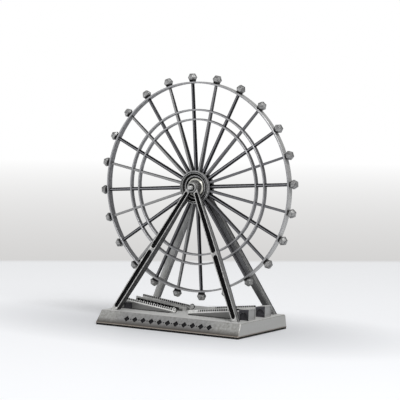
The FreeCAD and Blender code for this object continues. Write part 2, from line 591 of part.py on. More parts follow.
for facing, label in ((-1, "front_hub_flange"), (1, "rear_hub_flange")):
    plate = across(f"{label}_plate", "sizes.flange_radius",
                   *outward(facing, "sizes.barrel_half", "sizes.flange_front"))
    well = across(f"{label}_well", "sizes.flange_radius - sizes.flange_lip",
                  *outward(facing, "sizes.barrel_half + sizes.flange_plate",
                           "sizes.flange_front + sizes.overcut"))
    button = across(f"{label}_button", "sizes.hub_button_radius",
                    *outward(facing, "sizes.barrel_half", "sizes.hub_button_front"))
    dish_span = outward(facing, "sizes.hub_button_front - sizes.hub_dish_depth",
                        "sizes.hub_button_front + sizes.overcut")
    dish = across(f"{label}_dish", "sizes.hub_dish_radius", *dish_span)
    body = cut(f"{label}_solid", fuse(f"{label}_cast", cut(f"{label}_lip", plate, well), button),
               dish, hub_bore(f"{label}_bore"))
    doc.recompute()
    eased = add("Part::Fillet", label, Base=body)
    # the lip's two front edges and the button's front edge are eased
    eased_radii = (mm("flange_radius"), mm("flange_radius") - mm("flange_lip"), mm("hub_button_radius"))
    fronts = (mm("flange_front"), mm("flange_front"), mm("hub_button_front"))
    easing, tolerance = mm("flange_easing"), 0.01
    eased.Edges = [(index, easing, easing) for index, edge in enumerate(body.Shape.Edges, start=1)
                   if isinstance(edge.Curve, Part.Circle)
                   and any(abs(edge.Curve.Radius - radius) < tolerance
                           and abs(abs(edge.CenterOfMass.y - mm("wheel_plane")) - front) < tolerance
                           for radius, front in zip(eased_radii, fronts))]
    keep(eased, label)


# --- spokes: twelve tapered round rods, and twelve slats between them that are deepest at the hub
def about_hub(angle, turn=Rotation(), radius=0.0):
    """A place on the wheel at an angle up from +X, with a piece's own turn and radius."""
    spin = Rotation(Vector(0, -1, 0), angle)
    return Placement(HUB + spin.multVec(Vector(radius, 0, 0)), spin.multiply(turn))


ACROSS_WHEEL = Rotation(Vector(0, 0, 1), -90)  # a wedge's own Y axis laid along +X, its X axis along -Y
SPOKE_LENGTH = "sizes.rim_radius - sizes.rim_thickness - sizes.barrel_radius + sizes.spoke_joint"
spoke_start = mm("barrel_radius") - mm("spoke_joint")
rods, slats = [], []
for number in range(SPOKE_PAIRS):
    angle = mm("park_angle") + 360 / SPOKE_PAIRS * number
    rod = add("Part::Cone", f"main_spoke_{number}", Radius1="sizes.rod_hub_radius",
              Radius2="sizes.rod_rim_radius", Height=SPOKE_LENGTH)
    rod.Placement = about_hub(angle, ALONG_X, spoke_start)
    rods.append(rod)
    slat = add("Part::Wedge", f"thin_spoke_{number}", Ymin=0.0, Ymax=SPOKE_LENGTH,
               Xmin="-sizes.slat_hub_depth / 2", Xmax="sizes.slat_hub_depth / 2",
               X2min="-sizes.slat_rim_depth / 2", X2max="sizes.slat_rim_depth / 2",
               Zmin="-sizes.slat_width / 2", Zmax="sizes.slat_width / 2",
               Z2min="-sizes.slat_width / 2", Z2max="sizes.slat_width / 2")
    slat.Placement = about_hub(angle + 180 / SPOKE_PAIRS, ACROSS_WHEEL, spoke_start)
    slats.append(slat)
main_group = keep(group("main_spokes", *rods), "main_spokes")
thin_group = keep(group("intermediate_spokes", *slats), "intermediate_spokes")


# --- rim and rings: flat hoops; the two inner ones are pierced where the spokes pass ----------
def hoop(name, radius, thickness, width):
    """A hoop about the wheel's axis: its outer radius, thickness and width along Y."""
    body = doc.addObject("PartDesign::Body", name)
    plane = next(part for part in body.Origin.OriginFeatures if part.Role == "XY_Plane")
    made = body.newObject("Sketcher::SketchObject", f"{name}_section")
    made.AttachmentSupport = [(plane, "")]
    made.MapMode = "FlatFace"
    corners = [Vector(10, -1, 0), Vector(11, -1, 0), Vector(11, 1, 0), Vector(10, 1, 0)]
    for first in range(4):
        made.addGeometry(Part.LineSegment(corners[first], corners[(first + 1) % 4]), False)
    for first in range(4):
        made.addConstraint(Sketcher.Constraint("Coincident", first, 2, (first + 1) % 4, 1))
    for line, way in ((0, "Horizontal"), (2, "Horizontal"), (3, "Vertical")):
        made.addConstraint(Sketcher.Constraint(way, line))
    made.addConstraint(Sketcher.Constraint("Symmetric", 1, 1, 1, 2, -1))
    for kind, ends, value, expression in (
            ("DistanceX", (-1, 1, 1, 1), 11, f"sizes.{radius}"),
            ("DistanceX", (0, 1, 0, 2), 1, f"sizes.{thickness}"),
            ("DistanceY", (1, 1, 1, 2), 2, f"sizes.{width}")):
        made.addConstraint(Sketcher.Constraint(kind, *ends, value))
        made.setExpression(f"Constraints[{made.ConstraintCount - 1}]", expression)
    doc.recompute()
    turned = body.newObject("PartDesign::Revolution", f"{name}_turned")
    turned.Profile = made
    turned.ReferenceAxis = (made, ["V_Axis"])
    turned.Angle = 360.0
    doc.recompute()
    eased = body.newObject("PartDesign::Chamfer", f"{name}_eased")
    edges = [f"Edge{index}" for index, edge in enumerate(turned.Shape.Edges, start=1)
             if isinstance(edge.Curve, Part.Circle)]
    eased.Base = (turned, edges)
    eased.setExpression("Size", "sizes.band_chamfer")
    body.Placement = Placement(HUB, Rotation())
    doc.recompute()
    return body


keep(hoop("outer_rim", "rim_radius", "rim_thickness", "rim_width"), "outer_rim")
for label in ("middle_ring", "inner_ring"):
    plain = hoop(f"{label}_hoop", f"{label}_radius", "ring_thickness", "ring_width")
    keep(cut(label, plain, main_group, thin_group), label)


# --- capsules: faceted beads, each on a short flaring cup that is soldered to the rim ----------
UPRIGHT_HEXAGON = ALONG_Y.multiply(Rotation(Vector(0, 0, 1), 90))
outlines = []
for number, (girth, place) in enumerate((("capsule_face", "-sizes.capsule_length / 2"),
                                         ("capsule_girth", "-sizes.capsule_belt / 2"),
                                         ("capsule_girth", "sizes.capsule_belt / 2"),
                                         ("capsule_face", "sizes.capsule_length / 2"))):
    outlines.append(add("Part::RegularPolygon", f"capsule_outline_{number}", turn=UPRIGHT_HEXAGON,
                        at=("sizes.capsule_radius", place, None), Polygon=6, Circumradius=f"sizes.{girth}"))
bead = add("Part::Loft", "capsule_bead", Sections=outlines, Solid=True, Ruled=True, Closed=False)
cup = add("Part::Wedge", "capsule_cup", turn=ACROSS_WHEEL,
          at=("sizes.rim_radius - sizes.cup_sink", None, None),
          Ymin=0.0, Ymax="sizes.cup_lip - sizes.rim_radius + sizes.cup_sink",
          Xmin="-sizes.cup_root_depth / 2", Xmax="sizes.cup_root_depth / 2",
          X2min="-sizes.cup_lip_depth / 2", X2max="sizes.cup_lip_depth / 2",
          Zmin="-sizes.cup_root_span / 2", Zmax="sizes.cup_root_span / 2",
          Z2min="-sizes.cup_lip_span / 2", Z2max="sizes.cup_lip_span / 2")
rim_room = add("Part::Cylinder", "capsule_rim_room", turn=ALONG_Y,
               at=(None, "-sizes.right_through", None),
               Radius="sizes.rim_radius", Height="2 * sizes.right_through")
seat = cut("capsule_seat", cup, rim_room)
for number in range(CAPSULES):
    label = f"capsule_{number + 1:02d}"
    capsule = fuse(label, bead, seat)
    capsule.Placement = about_hub(mm("park_angle") + 360 / CAPSULES * number)
    keep(capsule, label)


# --- check every object, then write one file for each sub-part --------------------------------
doc.recompute()
for thing in doc.Objects:
    if "Invalid" in thing.State or "Error" in thing.State:
        raise ValueError(f"{thing.Name} failed: {thing.State}")
for node in nodes:
    if node.Shape.isNull() or not node.Shape.isValid() or not node.Shape.Solids:
        raise ValueError(f"{node.Label} has no valid solid")

os.makedirs("parts", exist_ok=True)
for node in nodes:
    node.Shape.exportStep(f"parts/{node.Label}.step")
print(len(nodes), "sub-parts written")
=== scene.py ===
import math

import bmesh
import bpy
from mathutils import Matrix, Vector


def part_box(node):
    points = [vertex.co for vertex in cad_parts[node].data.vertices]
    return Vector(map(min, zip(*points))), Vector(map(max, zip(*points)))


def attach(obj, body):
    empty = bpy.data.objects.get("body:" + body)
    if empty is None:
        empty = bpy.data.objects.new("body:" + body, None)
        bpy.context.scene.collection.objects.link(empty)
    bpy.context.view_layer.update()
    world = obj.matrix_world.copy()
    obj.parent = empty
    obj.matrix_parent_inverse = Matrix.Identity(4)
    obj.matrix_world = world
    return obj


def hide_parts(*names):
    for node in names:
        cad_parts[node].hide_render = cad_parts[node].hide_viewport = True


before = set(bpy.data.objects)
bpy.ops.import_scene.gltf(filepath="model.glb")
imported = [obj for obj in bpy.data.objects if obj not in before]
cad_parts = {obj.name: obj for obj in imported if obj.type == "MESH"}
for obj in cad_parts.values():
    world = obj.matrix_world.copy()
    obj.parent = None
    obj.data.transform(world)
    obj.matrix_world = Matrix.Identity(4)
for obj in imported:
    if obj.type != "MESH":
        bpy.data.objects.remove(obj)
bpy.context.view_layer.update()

# --- Plinth ---------------------------------------------------------------------------------------
# One zinc alloy die casting with sloping sides, plated and oxidised as old pewter. The dark wash
# stays in the stamped lozenges and pearls of the front band; handling has rubbed the edges pale.
MM = 0.001
RIGHT, LEFT = (1, 0, 0), (-1, 0, 0)
FRONT, BACK = (0, -1, 0), (0, 1, 0)
UP, DOWN = (0, 0, 1), (0, 0, -1)


def colour(code):
    """An sRGB hex value as the linear colour that a shader reads."""
    parts = [int(code[place:place + 2], 16) / 255 for place in (0, 2, 4)]
    return [part / 12.92 if part <= 0.04045 else ((part + 0.055) / 1.055) ** 2.4
            for part in parts] + [1]


def add_node(tree, kind, inputs=None, out=0, **settings):
    """Adds a node with its settings and links, and hands back one of its outputs."""
    node = tree.nodes.new(f"ShaderNode{kind}")
    for name, value in settings.items():
        setattr(node, name, value)
    for socket, value in (inputs or {}).items():
        if isinstance(value, bpy.types.NodeSocket):
            tree.links.new(value, node.inputs[socket])
        else:
            node.inputs[socket].default_value = value
    return node.outputs[out]


def aged_pewter(name, metal, patina, edge_wear_and_shade, cloud=1.6 * MM, hollow=1.2 * MM, edge=0.18 * MM,
                metallic=0.5, roughness=(0.34, 0.52), wash=0.9, washes_and_painted_light=()):
    """Plated zinc alloy, oxidised and wiped: cloudy grey metal, dark hollows, and edges pale where
    worn and, on the capsules, dark as painted shade.

    Cloud, hollow and edge are the sizes of the mottling, of the hollows that hold the wash and of
    the edges with their own tone. Each wash, and each mark of painted light and shade, is (colour,
    conditions) and lies where all its conditions hold. A condition takes effect from start to
    finish:
    ("place", direction, start, finish) along a direction, ("facing", direction, start, finish) by
    which way the surface looks, and ("reach", centre, start, finish) by the distance from the
    wheel's axis.
    """
    made = bpy.data.materials.new(name)
    made.use_nodes = True
    tree = made.node_tree
    shader = tree.nodes["Principled BSDF"]
    place = add_node(tree, "TexCoord", out="Object")
    normal = add_node(tree, "TexCoord", out="Normal")
    clouds = add_node(tree, "TexNoise", {"Vector": place, "Scale": 1 / cloud, "Detail": 5.0,
                                         "Roughness": 0.62})
    # casting grain of about 0.3 mm, a little coarser than the real one so that it still shows
    grain = add_node(tree, "TexNoise", {"Vector": place, "Scale": 1 / (0.3 * MM), "Detail": 2.0})
    share = add_node(tree, "MapRange", {"Value": clouds, "From Min": 0.34, "From Max": 0.62})
    tone = add_node(tree, "Mix", {0: share, 6: colour(patina), 7: colour(metal)}, out=2,
                    data_type="RGBA")
    share = add_node(tree, "MapRange", {"Value": grain, "From Min": 0.4, "From Max": 0.7,
                                        "To Max": 0.3})
    tone = add_node(tree, "Mix", {0: share, 6: tone, 7: colour(patina)}, out=2, data_type="RGBA")
    # each entry is a wash or a mark of painted light and shade, laid where its conditions hold
    for code, conditions in washes_and_painted_light:
        share = 1.0
        for measure, against, start, finish in conditions:
            if measure == "reach":
                away = add_node(tree, "VectorMath", {0: place, 1: against}, operation="SUBTRACT")
                away = add_node(tree, "VectorMath", {0: away, 1: (1, 0, 1)}, operation="MULTIPLY")
                amount = add_node(tree, "VectorMath", {0: away}, out="Value", operation="LENGTH")
            else:
                source = normal if measure == "facing" else place
                amount = add_node(tree, "VectorMath", {0: source, 1: against}, out="Value",
                                  operation="DOT_PRODUCT")
            held = add_node(tree, "MapRange", {"Value": amount, "From Min": start,
                                               "From Max": finish})
            share = add_node(tree, "Math", {0: held, 1: share}, operation="MULTIPLY")
        tone = add_node(tree, "Mix", {0: share, 6: tone, 7: colour(code)}, out=2, data_type="RGBA")
    openness = add_node(tree, "AmbientOcclusion", {"Distance": hollow}, out="AO", samples=8,
                        only_local=True)
    share = add_node(tree, "MapRange", {"Value": openness, "From Min": 0.9, "From Max": 0.35,
                                        "To Max": wash})
    tone = add_node(tree, "Mix", {0: share, 6: tone, 7: colour("151515")}, out=2, data_type="RGBA")
    # edges take their own tone: pale where worn, and on the capsules dark as painted shade
    bevelled_normal = add_node(tree, "Bevel", {"Radius": edge}, samples=4)
    flat = add_node(tree, "NewGeometry", out="Normal")
    same = add_node(tree, "VectorMath", {0: bevelled_normal, 1: flat}, out="Value", operation="DOT_PRODUCT")
    edge_wear_and_shade_mask = add_node(tree, "MapRange", {"Value": same, "From Min": 0.99, "From Max": 0.9})
    share = add_node(tree, "MapRange", {"Value": openness, "From Min": 0.5, "From Max": 0.8})
    edge_wear_and_shade_mask = add_node(tree, "Math", {0: edge_wear_and_shade_mask, 1: share}, operation="MULTIPLY")
    tone = add_node(tree, "Mix", {0: edge_wear_and_shade_mask, 6: tone, 7: colour(edge_wear_and_shade)}, out=2, data_type="RGBA")
    tree.links.new(tone, shader.inputs["Base Color"])
    shader.inputs["Metallic"].default_value = metallic
    gloss = add_node(tree, "MapRange", {"Value": clouds, "From Min": 0.35, "From Max": 0.65,
                                        "To Min": roughness[1], "To Max": roughness[0]})
    tree.links.new(gloss, shader.inputs["Roughness"])
    bump = add_node(tree, "Bump", {"Strength": 0.25, "Distance": 0.03 * MM, "Height": grain})
    tree.links.new(bump, shader.inputs["Normal"])
    return made


def dress(name, material):
    """Gives a CAD node its finish in every slot."""
    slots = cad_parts[name].data.materials
    if not slots:
        slots.append(material)
    for number in range(len(slots)):
        slots[number] = material


plinth_low, plinth_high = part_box("base_plinth")
deck_z = plinth_high.z
FRONT_SETBACK = 4.8 * MM                 # how far the front leans back over the plinth's height
BAND_HALF = 30.2 * MM                    # half the length of the stamped band
BAND_TOP = 7.3 * MM                      # nothing above this height is stamped
FRONT_START = 22 * MM                    # the front lies further than this from the middle
# into the leaning front's metal is this way; the stamps are 0.5 mm deep
front_lean = math.atan2(FRONT_SETBACK, plinth_high.z - plinth_low.z)
into_front = (0, math.cos(front_lean), -math.sin(front_lean))
front_plane = plinth_low.y * into_front[1] + plinth_low.z * into_front[2]
stamped = [("place", into_front, front_plane + 0.1 * MM, front_plane + 0.25 * MM),
           ("place", DOWN, -BAND_TOP - 0.1 * MM, -BAND_TOP + 0.1 * MM),
           ("place", FRONT, FRONT_START, FRONT_START + 1 * MM),
           ("place", RIGHT, -BAND_HALF - 0.1 * MM, -BAND_HALF),
           ("place", LEFT, -BAND_HALF - 0.1 * MM, -BAND_HALF)]
# the front is browned towards its foot, and a thin line of it is wiped at the very bottom
low_skirt = [("place", DOWN, -4.8 * MM, -1.6 * MM), ("facing", FRONT, 0.3, 0.6)]
bottom_line = [("place", DOWN, -1.8 * MM, -1.6 * MM)]
# the plating has darkened round the stamps, about half way to the stain's own colour
stain = [("facing", FRONT, 0.3, 0.6), ("place", RIGHT, -38 * MM, -30 * MM),
         ("place", LEFT, -34 * MM, -24 * MM), ("place", DOWN, -17 * MM, 7 * MM)]
# the deck and the right end are painted paler, as the light from above and the right falls there
deck_painted_light = [("facing", UP, 0.85, 0.97)]
end_painted_light = [("facing", RIGHT, 0.7, 0.95)]
# mottled mid grey with a satin sheen, brown along the foot, and painted palest on the deck as lit
dress("base_plinth", aged_pewter("antique pewter plating", "b4b4b2", "94938f", "bebebc",
                                 edge=0.2 * MM, roughness=(0.46, 0.6),
                                 washes_and_painted_light=[("dededc", deck_painted_light), ("bebebc", end_painted_light),
                                         ("79797c", stain), ("4b4640", low_skirt),
                                         ("8f857b", bottom_line), ("121114", stamped)]))


# --- Pad ------------------------------------------------------------------------------------------
# A sheet of dark brown felt glued under the plinth. Felt is matt, and its short fibres lie in all
# directions, which gives the eye a soft speckle.
felt = bpy.data.materials.new("pressed wool felt")
felt.use_nodes = True
felt_tree = felt.node_tree
felt_shader = felt_tree.nodes["Principled BSDF"]
felt_place = add_node(felt_tree, "TexCoord", out="Object")
# single fibres are too fine to show, so this draws tufts of a quarter of a millimetre
fibres = add_node(felt_tree, "TexNoise", {"Vector": felt_place, "Scale": 1 / (0.25 * MM),
                                          "Detail": 3.0})
felt_tone = add_node(felt_tree, "Mix", {0: fibres, 6: colour("0b0a08"), 7: colour("1c1815")}, out=2,
                     data_type="RGBA")
felt_tree.links.new(felt_tone, felt_shader.inputs["Base Color"])
felt_bump = add_node(felt_tree, "Bump", {"Strength": 0.5, "Distance": 0.05 * MM, "Height": fibres})
felt_tree.links.new(felt_bump, felt_shader.inputs["Normal"])
felt_shader.inputs["Roughness"].default_value = 0.95
dress("base_pad", felt)


# --- Frame screws ---------------------------------------------------------------------------------
# Four zinc-plated pan-head screws up into the spigots of the A-frames, inside the plinth. Bright
# zinc has a fine even grain and a faint blue cast.
dress("frame_screws", aged_pewter("bright zinc plating", "b9bbc0", "9b9da3", "d9dbe0",
                                  cloud=1.5 * MM, metallic=1.0, roughness=(0.25, 0.38), wash=0.4))


# --- A-frames -------------------------------------------------------------------------------------
# Two zinc alloy castings, each a pair of waisted legs that lean in to the hub and meet in a boss.
# A slot runs down each half of a leg's face, and a spigot under each foot goes into the plinth.
barrel_low, barrel_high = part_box("hub_barrel")
hub = (barrel_low + barrel_high) / 2
LEG_FOOT = (41.3 * MM, 23.9 * MM)             # out from the middle, and from the wheel's plane
LEG_TOP = (1.5 * MM, 5.94 * MM)
LEG_WIDTHS = (3.4 * MM, 3.9 * MM, 2.9 * MM)   # at foot, waist and top
LEG_DEPTHS = (3.7 * MM, 4.6 * MM, 1.75 * MM)
LEG_STEPS = 12
SLOT_RADII = (1.2 * MM, 1.4 * MM, 1.0 * MM)   # at foot, waist and top
SLOT_START, SLOT_FINISH = 2.1 * MM, 3.2 * MM  # short of the leg's foot and of its top
SLOT_BRIDGE, SLOT_DEPTH = 1.7 * MM, 1.3 * MM  # the bridge is left standing between the slots
PANEL_BORDER, PANEL_SINK = 0.8 * MM, 0.12 * MM
SPIGOT_RADIUS, SPIGOT_LENGTH = 1.4 * MM, 5.0 * MM
BOSS_FRONT, BOSS_REAR = 7.0, 4.1              # out from the wheel's plane, in mm

# faces that look down are painted dark, as the shade under them
underside_painted_shade = [("facing", DOWN, 0.3, 0.5)]
# the rear legs' faces towards the wheel are painted pale on the left as lit and dark on the right
# as shade
inner_face = ("facing", (0, -0.972, -0.236), 0.94, 0.98)
left_inner_painted_light = [inner_face, ("place", LEFT, 0, 1 * MM)]
right_inner_painted_shade = [inner_face, ("place", RIGHT, 0, 1 * MM)]
# wiped castings look pale and cloudy, with bright edges; their undersides are painted dark as shade
frame_pewter = aged_pewter("wiped antique pewter", "c4c4c2", "9a9998", "f2f2f0", edge=0.2 * MM,
                           washes_and_painted_light=[("2a292c", underside_painted_shade), ("c0c0be", left_inner_painted_light),
                                   ("6e6e70", right_inner_painted_shade)])
# a cloth wipes less of the wash off a sunk panel than off the face, and hardly any beside it
panel_pewter = aged_pewter("half-wiped antique pewter", "a6a6a5", "747473", "c9c9c7",
                           washes_and_painted_light=[("222124", underside_painted_shade)])
panel_border = aged_pewter("unwiped antique pewter", "48484a", "2c2c2e", "d9d9d7", edge=0.12 * MM,
                           washes_and_painted_light=[("19181a", underside_painted_shade)])
# where nothing wipes it off the wash is matt black, like soot; the same black is also painted where
# shade falls
black_wash_and_shade = aged_pewter("black patina wash and painted shade", "0f0e10", "070608", "2c2b2d", metallic=0.0,
                         roughness=(0.6, 0.85))
black_wash_and_shade.node_tree.nodes["Principled BSDF"].inputs["Specular IOR Level"].default_value = 0.15

HAIR = 0.01 * MM                         # closer than this counts as the same place


def clear():
    """Nothing is selected, in object mode, so that a new piece starts by itself."""
    if bpy.context.object and bpy.context.object.mode != "OBJECT":
        bpy.ops.object.mode_set(mode="OBJECT")
    bpy.ops.object.select_all(action="DESELECT")


def alone(piece):
    """Only this piece is selected and active, in object mode."""
    clear()
    piece.select_set(True)
    bpy.context.view_layer.objects.active = piece


def fresh(name, material):
    """Names the primitive just added, settles its place into its mesh and gives it its finish."""
    piece = bpy.context.object
    piece.name = name
    bpy.ops.object.transform_apply(location=True, rotation=True, scale=True)
    piece.data.materials.clear()
    piece.data.materials.append(material)
    return piece


def block(name, low, high, material):
    """A bar with its corners at two opposite points."""
    clear()
    low, high = Vector(low), Vector(high)
    bpy.ops.mesh.primitive_cube_add(size=1, location=(low + high) / 2, scale=high - low)
    return fresh(name, material)


def pick(piece, test, kind="VERT"):
    """In edit mode, selects the corners, or the faces, whose middle passes the test."""
    alone(piece)
    bpy.ops.object.mode_set(mode="EDIT")
    bpy.ops.mesh.select_mode(type=kind)
    bpy.ops.mesh.select_all(action="DESELECT")
    shape = bmesh.from_edit_mesh(piece.data)
    if kind == "FACE":
        chosen = [face for face in shape.faces if test(face.calc_center_median())]
    else:
        chosen = [corner for corner in shape.verts if test(corner.co)]
    for thing in chosen:
        thing.select_set(True)
    shape.select_flush_mode()
    bmesh.update_edit_mesh(piece.data)


def modify(piece, kind, **settings):
    """Adds a modifier with its settings and applies it."""
    alone(piece)
    modifier = piece.modifiers.new(kind.lower(), kind)
    for name, value in settings.items():
        setattr(modifier, name, value)
    bpy.ops.object.modifier_apply(modifier=modifier.name)


def carve(piece, tool, operation="DIFFERENCE"):
    """Cuts a tool out of a piece, or adds it; a cut keeps the tool's own finish."""
    modify(piece, "BOOLEAN", object=tool, operation=operation, solver="EXACT",
           material_mode="TRANSFER")
    bpy.data.objects.remove(tool)


def join(name, pieces):
    """Several closed shapes as one object."""
    alone(pieces[0])
    for piece in pieces[1:]:
        piece.select_set(True)
    bpy.ops.object.join()
    joined = bpy.context.object
    joined.name = name
    return joined


def paint(piece, test, material):
    """Gives another finish to the faces whose middle passes the test."""
    if material.name not in piece.data.materials:
        piece.data.materials.append(material)
    pick(piece, test, "FACE")
    piece.active_material_index = piece.data.materials.find(material.name)
    bpy.ops.object.material_slot_assign()
    bpy.ops.object.mode_set(mode="OBJECT")


def ease(piece, width, segments=2):
    """Rounds the sharp edges of a piece."""
    modify(piece, "BEVEL", width=width, segments=segments, limit_method="ANGLE",
           angle_limit=math.radians(35), use_clamp_overlap=True)


def settle(piece, body, node, crease=35):
    """Smooths a finished piece, ties it to its body and hides the CAD node it stands for."""
    alone(piece)
    bpy.ops.object.shade_smooth_by_angle(angle=math.radians(crease))
    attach(piece, body)
    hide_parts(node)


def turned(name, profile, material, facing=-1, steps=72):
    """A piece turned about the wheel's axis. The profile goes round its section, each point
    (distance out from the wheel's plane, radius) in mm; a closed profile makes a ring."""
    clear()
    ring = profile[0] == profile[-1]
    out, radius = profile[0]
    bpy.ops.mesh.primitive_circle_add(vertices=steps, radius=radius * MM,
                                      rotation=(math.pi / 2, 0, 0),
                                      location=hub + Vector((0, facing * out * MM, 0)),
                                      fill_type="NOTHING" if ring else "NGON")
    piece = fresh(name, material)
    bpy.ops.object.mode_set(mode="EDIT")
    bpy.ops.mesh.select_mode(type="EDGE" if ring else "FACE")
    bpy.ops.mesh.select_all(action="SELECT")
    for next_out, next_radius in profile[1:]:
        step = (0, facing * (next_out - out) * MM, 0)
        bpy.ops.mesh.extrude_region_move(TRANSFORM_OT_translate={"value": step})
        grow = next_radius / radius
        bpy.ops.transform.resize(value=(grow, 1, grow), center_override=hub)
        out, radius = next_out, next_radius
    bpy.ops.mesh.select_all(action="SELECT")
    bpy.ops.mesh.remove_doubles(threshold=0.001 * MM)
    bpy.ops.mesh.normals_make_consistent(inside=False)
    bpy.ops.object.mode_set(mode="OBJECT")
    return piece


def leg_size(sizes, share):
    """A width or depth at a share of the leg's length, on the curve through foot, waist and top."""
    foot, waist, top = sizes
    return (foot * (1 - share) * (1 - 2 * share) + 4 * waist * share * (1 - share)
            + top * share * (2 * share - 1))


def slot_tool(low, low_radius, high, high_radius):
    """A long cutter along Z with round ends of two radii, which goes SLOT_DEPTH into the face."""
    clear()
    middle = low + low_radius
    bpy.ops.mesh.primitive_cylinder_add(vertices=28, radius=low_radius, depth=2 * SLOT_DEPTH,
                                        location=(0, 0, middle), rotation=(math.pi / 2, 0, 0))
    tool = fresh("slot tool", black_wash_and_shade)
    pick(tool, lambda corner: corner.z > middle + HAIR)
    bpy.ops.transform.translate(value=(0, 0, high - high_radius - middle))
    grow = high_radius / low_radius
    bpy.ops.transform.resize(value=(grow, 1, grow), center_override=(0, 0, high - high_radius))
    bpy.ops.object.mode_set(mode="OBJECT")
    return tool


def leg(side, facing):
    """One leg with its two slots, raised from its foot and leaned in to the hub."""
    foot = Vector((side * LEG_FOOT[0], hub.y + facing * LEG_FOOT[1], deck_z))
    top = Vector((side * LEG_TOP[0], hub.y + facing * LEG_TOP[1], hub.z))
    run = top - foot
    length = run.length
    # the first station is below the deck, where the foot is cut level at the end
    stations = [number / LEG_STEPS for number in range(-1, LEG_STEPS + 1)]
    clear()
    start = stations[0]
    bpy.ops.mesh.primitive_plane_add(size=1, location=(0, 0.5, 0))
    piece = fresh("leg", frame_pewter)
    bpy.ops.object.mode_set(mode="EDIT")
    bpy.ops.mesh.select_mode(type="FACE")
    bpy.ops.mesh.select_all(action="SELECT")
    bpy.ops.transform.resize(value=(leg_size(LEG_WIDTHS, start), leg_size(LEG_DEPTHS, start), 1),
                             center_override=(0, 0, 0))
    bpy.ops.transform.translate(value=(0, 0, start * length))
    for share in stations[1:]:
        step = (0, 0, (share - start) * length)
        bpy.ops.mesh.extrude_region_move(TRANSFORM_OT_translate={"value": step})
        grow = (leg_size(LEG_WIDTHS, share) / leg_size(LEG_WIDTHS, start),
                leg_size(LEG_DEPTHS, share) / leg_size(LEG_DEPTHS, start), 1)
        bpy.ops.transform.resize(value=grow, center_override=(0, 0, share * length))
        start = share
    bpy.ops.mesh.select_all(action="SELECT")
    bpy.ops.mesh.normals_make_consistent(inside=False)
    bpy.ops.object.mode_set(mode="OBJECT")
    # a shallow panel is sunk into each side, with the wash left dark along its border
    past_the_face = 1.3 * MM             # only the sides' faces have their middle further out
    paint(piece, lambda middle: abs(middle.x) > past_the_face, panel_border)
    bpy.ops.object.mode_set(mode="EDIT")
    bpy.ops.mesh.inset(thickness=PANEL_BORDER, depth=-PANEL_SINK, use_even_offset=True)
    piece.data.materials.append(panel_pewter)
    piece.active_material_index = piece.data.materials.find(panel_pewter.name)
    bpy.ops.object.material_slot_assign()
    bpy.ops.object.mode_set(mode="OBJECT")
    foot_radius, waist_radius, top_radius = SLOT_RADII
    carve(piece, slot_tool(SLOT_START, foot_radius, (length - SLOT_BRIDGE) / 2, waist_radius))
    carve(piece, slot_tool((length + SLOT_BRIDGE) / 2, waist_radius, length - SLOT_FINISH,
                           top_radius))
    # the face holds the X axis and leans in; across, inward and along are the leg's own directions
    along = run.normalized()
    inward = Vector((0, -facing * run.z, facing * run.y)).normalized()
    across = inward.cross(along)
    lean = Matrix((across, inward, along)).transposed().to_4x4()
    piece.matrix_world = Matrix.Translation(foot) @ lean
    alone(piece)
    bpy.ops.object.transform_apply(location=True, rotation=True, scale=True)
    pick(piece, lambda corner: True)
    bpy.ops.mesh.bisect(plane_co=(0, 0, deck_z), plane_no=UP, clear_inner=True, use_fill=True)
    bpy.ops.object.mode_set(mode="OBJECT")
    ease(piece, 0.12 * MM)
    return piece


def spigot(side, facing):
    """The round stub that goes down into the plinth behind a foot's face, chamfered at its end."""
    setback = LEG_FOOT[1] - LEG_DEPTHS[0] / 2
    clear()
    bpy.ops.mesh.primitive_cylinder_add(vertices=24, radius=SPIGOT_RADIUS, depth=SPIGOT_LENGTH,
                                        location=(side * LEG_FOOT[0], hub.y + facing * setback,
                                                  deck_z - SPIGOT_LENGTH / 2 + 0.3 * MM))
    piece = fresh("spigot", frame_pewter)
    ease(piece, 0.2 * MM)
    return piece


# a collar with two grooves round it and a sink in its end, round the axle
boss_profile = [(BOSS_REAR, 1.25), (BOSS_REAR, 2.9), (4.3, 3.1), (4.9, 3.1), (5.05, 2.85),
                (5.3, 2.85), (5.45, 3.1), (5.95, 3.1), (6.1, 2.85), (6.3, 2.85), (6.45, 3.05),
                (6.75, 3.05), (BOSS_FRONT, 2.8), (BOSS_FRONT, 2.35), (6.85, 2.15), (6.4, 2.1),
                (6.4, 1.25), (BOSS_REAR, 1.25)]
for frame_node, facing in (("front_frame", -1), ("rear_frame", 1)):
    parts = [leg(side, facing) for side in (-1, 1)]
    parts += [spigot(side, facing) for side in (-1, 1)]
    boss = turned("boss", boss_profile, panel_pewter, facing)
    # the wash is left black in the sink round the axle's end
    paint(boss, lambda middle: (middle - hub).xz.length < 2.2 * MM, black_wash_and_shade)
    parts.append(boss)
    settle(join(f"{frame_node}_casting", parts), "stand", frame_node)


# --- Axle -----------------------------------------------------------------------------------------
# A steel pin pressed through both bosses. Its ends are domed and polished by handling, and a groove
# near each end is left from turning.
# satin steel is almost white, with a soft broad shine
bright_steel = aged_pewter("satin plated steel", "ececea", "bcbcba", "f6f6f4", cloud=2 * MM,
                           roughness=(0.26, 0.4), wash=0.5)
AXLE_RADIUS, AXLE_REACH = 1.25, 8.8      # in mm, the reach from the wheel's plane to the dome
half_pin = [(0.0, AXLE_RADIUS), (7.75, AXLE_RADIUS), (7.85, 1.12), (8.05, 1.12),
            (8.15, AXLE_RADIUS), (AXLE_REACH, AXLE_RADIUS), (9.02, 1.16), (9.22, 0.98),
            (9.38, 0.68), (9.47, 0.34), (9.5, 0.02)]
axle_profile = [(-out, radius) for out, radius in half_pin[:0:-1]] + half_pin
settle(turned("axle_pin", axle_profile, bright_steel, steps=40), "stand", "axle")


